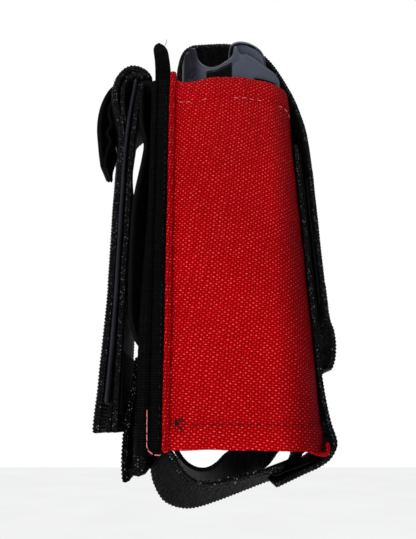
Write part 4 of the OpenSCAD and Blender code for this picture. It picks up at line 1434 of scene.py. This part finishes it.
def relief(sx, x, y, z, zt, on_side):
    """Moulded detail on the outer wall near its top."""
    if z < 136 or not on_side:
        return 0.0
    d = 0.0
    if y > -36:
        # raised bead round the finger notch
        q = seg_dist(y, z, U_PART)
        if q < 4.0:
            d += 0.75 * math.exp(-((q - 0.9) / 1.0) ** 2) - 0.30 * math.exp(-((q - 2.9) / 0.7) ** 2)
        if y < -12:
            q = seg_dist(y, z, GROOVE_B)
            if q < 2.2:
                d -= 0.42 * math.exp(-(q / 0.45) ** 2)
            q = seg_dist(y, z, GROOVE_A)
            if q < 2.2:
                d -= 0.40 * math.exp(-(q / 0.42) ** 2)
    if y > -16.2:
        # the rear lobe is a pillow with a bright ridge on its outer side
        f = sm(-16.2, -13.2, y)
        d += 0.45 * f * (1 - sm(-12.2, -10.4, y)) + 0.35 * math.exp(-((y + 11.3) / 0.6) ** 2)
    if y < -30.5:
        # ledge along the step
        q = seg_dist(y, z, [p for p in edge_z if p[0] < -30.6])
        if q < 3.0:
            d += 0.42 * math.exp(-((q - 0.6) / 0.55) ** 2)
    # recess for the latch, low beside the sleeve's rim
    if -49.5 < y < -39.0:
        a = 145.4
        d -= 1.2 * sm(a + 0.1, a - 0.5, z) * sm(-39.0, -39.8, y)
    # a shallow seat for the label
    return d


case_half(-1, "case_left", "case_shell_left")
case_half(1, "case_right", "case_shell_right")


def case_side_x(y, off=0.0):
    side, corner, _ = case_outline(off)
    pts = sorted((b, a) for a, b in side + corner)
    return lut(pts, y)


def patch(name, outline_top, y0, y1, z0, off, mat, ny=16, nzr=18, thick=0.22, body="cartridge"):
    """A thin film on the cartridge's left wall between depths y0 and y1, from z0 up to outline_top(y)."""
    verts, uvs, faces = [], [], []
    for j in range(ny + 1):
        y = y0 + (y1 - y0) * j / ny
        zt = outline_top(y)
        for i in range(nzr + 1):
            z = z0 + (zt - z0) * i / nzr
            x = case_side_x(y) + off
            q = seg_dist(y, z, GROOVE_B)
            verts.append(W(-x, y, z))
            uvs.append((y / 1000, z / 1000))
    for j in range(ny):
        for i in range(nzr):
            a = j * (nzr + 1) + i
            faces.append((a, a + 1, a + nzr + 2, a + nzr + 1))
    ob = mesh_object(name, verts, faces, uvs, mat)
    so = ob.modifiers.new("film", "SOLIDIFY")
    so.thickness = thick / 1000
    so.offset = 0.0
    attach(ob, body)
    return ob


lab = patch("label_film", lambda y: lut([(-30.2, 150.6), (-28, 149.2), (-24.4, 147.4), (-21.0, 146.6), (-19.9, 146.4)], y), -30.2, -19.9, 96, 0.10, LABEL, nzr=40)
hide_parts("case_label")
# painted shade: a near-black film laid in the recess as its shadow
slot_painted_shade = patch("recess_painted_shade", lambda y: lut([(-48.8, 144.8), (-39.6, 145.1)], y), -48.8, -39.6, 138.0, -1.1, SHADOW, thick=0.15)


def yoke():
    """Roof between the walls: a stepped cover with two raised side lobes, made as one rounded shell."""
    lobe = smooth([(-29.6, 148.0), (-29.7, 154.0), (-30.0, 158.6), (-30.9, 161.2), (-33.4, 162.4), (-36.6, 162.3), (-39.6, 161.2), (-42.2, 159.3),
                   (-43.6, 156.6), (-44.0, 153.2), (-44.6, 149.6), (-46.4, 145.0), (-47.6, 138.0)], 5)
    mid = smooth([(-31.0, 148.0), (-31.1, 152.4), (-31.4, 155.6), (-32.8, 157.8), (-34.6, 158.3), (-37.0, 157.9), (-39.6, 156.3), (-41.6, 154.4),
                  (-43.2, 152.6), (-44.8, 150.4), (-46.4, 147.6), (-47.4, 143.0), (-47.6, 138.0)], 5)
    n = len(lobe)
    NX = 60
    verts, uvs, faces = [], [], []
    for j in range(NX + 1):
        u = -1 + 2 * j / NX
        u = math.copysign(abs(u) ** 0.8, u)
        for i in range(n):
            # side lobes rise past the strap's edges and turn down at the walls
            f = sm(0.795, 0.86, abs(u))
            y = mid[i][0] + (lobe[i][0] - mid[i][0]) * f
            z = mid[i][1] + (lobe[i][1] - mid[i][1]) * f
            xw = case_side_x(min(-12.2, max(y, -50))) - 2.45
            x = u * xw
            e = sm(0.955, 1.0, abs(u))
            z -= 0.9 * e * e
            y += 0.4 * e * e * (1 if i < 5 else -0.6)
            verts.append(W(x, y, z))
            uvs.append((x / 1000, i / 1000))
    # skirt inside the walls
    for j in range(NX):
        for i in range(n - 1):
            a = j * n + i
            faces.append((a, a + 1, a + n + 1, a + n))
    base = len(verts)
    for j, s in ((0, -1), (NX, 1)):
        for i in range(n):
            v = verts[j * n + i]
            verts.append(Vector((v.x, v.y, min(v.z, W(0, 0, 146).z))))
            uvs.append((0, i / 1000))
    for q, j in enumerate((0, NX)):
        for i in range(n - 1):
            a, b = j * n + i, base + q * n + i
            faces.append((a, a + 1, b + 1, b))
    ob = mesh_object("case_cover", verts, faces, uvs, CASE)
    so = ob.modifiers.new("wall", "SOLIDIFY")
    so.thickness = 0.0016
    so.offset = 0.0
    return ob


cover = yoke()
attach(cover, "cartridge")

# inner floor over the blanket, with its rim
fl_side, fl_corner, fl_back = case_outline(2.35)
half = resample(fl_side + fl_corner + fl_back, 1.2)[0]
loop = [(x, y) for x, y in half] + [(-x, y) for x, y in reversed(half[1:-1])]
verts, faces, uvs = [], [], []
lv = [(0.0, 124.0), (0.0, 126.0), (0.5, 126.4), (2.2, 126.5), (2.7, 125.9), (6.0, 125.7)]
C = (0.0, -33.0)
for ins, z in lv:
    for x, y in loop:
        L = math.hypot(x - C[0], y - C[1])
        f = max(0.0, 1 - ins / L)
        verts.append(W(C[0] + (x - C[0]) * f, C[1] + (y - C[1]) * f, z))
        uvs.append((x / 1000, y / 1000))
Kl = len(loop)
for a in range(len(lv) - 1):
    for k in range(Kl):
        k2 = (k + 1) % Kl
        faces.append((a * Kl + k, a * Kl + k2, (a + 1) * Kl + k2, (a + 1) * Kl + k))
faces.append(tuple(range(Kl)))
faces.append(tuple((len(lv) - 1) * Kl + k for k in reversed(range(Kl))))
deck = outward(mesh_object("case_deck", verts, faces, uvs, CASE_DARK, False))
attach(deck, "cartridge")
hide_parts("case_yoke")

# foot of the cartridge with rounded edge
ft = case_outline(0.0)
half = resample(ft[0] + ft[1] + ft[2], 1.0)[0]
loop = [(x, y) for x, y in half] + [(-x, y) for x, y in reversed(half[1:-1])]
verts, faces, uvs = [], [], []
lv = [(2.6, 5.0), (0.0, 5.0), (0.0, 3.8), (0.35, 3.0), (1.1, 2.6), (4.0, 2.6), (4.6, 3.2), (9.0, 3.2)]
for ins, z in lv:
    for x, y in loop:
        L = math.hypot(x - C[0], y - C[1])
        f = max(0.0, 1 - ins / L)
        verts.append(W(C[0] + (x - C[0]) * f, C[1] + (y - C[1]) * f, z))
        uvs.append((x / 1000, y / 1000))
Kl = len(loop)
for a in range(len(lv) - 1):
    for k in range(Kl):
        k2 = (k + 1) % Kl
        faces.append((a * Kl + k, a * Kl + k2, (a + 1) * Kl + k2, (a + 1) * Kl + k))
faces.append(tuple(range(Kl)))
faces.append(tuple((len(lv) - 1) * Kl + k for k in reversed(range(Kl))))
foot = outward(mesh_object("case_foot", verts, faces, uvs, CASE_DARK, False))
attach(foot, "cartridge")
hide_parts("case_bottom_plug")


# ---------------------------------------------------------------- blanket and pull tapes
def folded_blanket():
    """One cloth folded back and forth, each fold a round bight."""
    def lay_w(y):
        return 27.0 - 2.2 - 2.2 - 11 * max(0, (-y - 26) / 22) ** 2.2
    pts = []
    n = 10
    for k in range(n):
        y = -20.9 - 2.6 * k
        w0 = lay_w(y - 1.3)
        w1 = lay_w(y - 3.9)
        s = 1 if k % 2 == 0 else -1
        xs = [(-s * (w0 - 1.6) + s * (2 * w0 - 3.2) * q / 14, y) for q in range(15)]
        pts += xs
        if k < n - 1:
            wf = min(w0, w1) - 1.6
            for q in range(1, 6):
                th = math.pi * q / 6
                pts.append((s * (wf + 1.2 * math.sin(th)), y - 1.3 + 1.3 * math.cos(th)))
    pts = resample(pts, 1.1)[0]
    rows = 36
    verts, uvs, faces = [], [], []
    acc = [0.0]
    for a, b in zip(pts, pts[1:]):
        acc.append(acc[-1] + math.dist(a, b))
    for i in range(rows + 1):
        z = 10.5 + 111.0 * i / rows
        for (x, y), s in zip(pts, acc):
            verts.append(W(x + 0.15 * nz(s, z, 0, 0.08, 1), y + 0.25 * nz(s, z, 3, 0.06, 2), z + 0.5 * nz(s, 0, 0, 0.12, 4)))
            uvs.append((s / 1000, z / 1000))
    M = len(pts)
    for i in range(rows):
        for j in range(M - 1):
            faces.append((i * M + j, i * M + j + 1, (i + 1) * M + j + 1, (i + 1) * M + j))
    ob = mesh_object("folded_blanket", verts, faces, uvs, GLASS)
    so = ob.modifiers.new("cloth", "SOLIDIFY")
    so.thickness = 0.0012
    so.offset = 0.0
    return ob, acc[-1] / 1000


bl, bl_len = folded_blanket()
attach(bl, "cartridge")
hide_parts("blanket_pack")

pts = smooth([(-33.9, 123), (-33.9, 128), (-33.5, 134), (-30.2, 138.6), (-24, 139.2), (-20.0, 136.8), (-20.2, 131.4), (-25.6, 128.9)], 6)
pa = strap("tape_a", pts, 7.8, 1.1, WEB, rib=(1.0, 0.08), ds=0.35, cols=8, xc=-4.8, seed=31)
pb = strap("tape_b", pts, 7.8, 1.1, WEB, rib=(1.0, 0.08), ds=0.35, cols=8, xc=4.8, seed=32)
tp = join("pull_tape_pair", [pa, pb])
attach(tp, "cartridge")
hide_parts("pull_tapes")

# ---------------------------------------------------------------- scene update
bpy.context.view_layer.update()
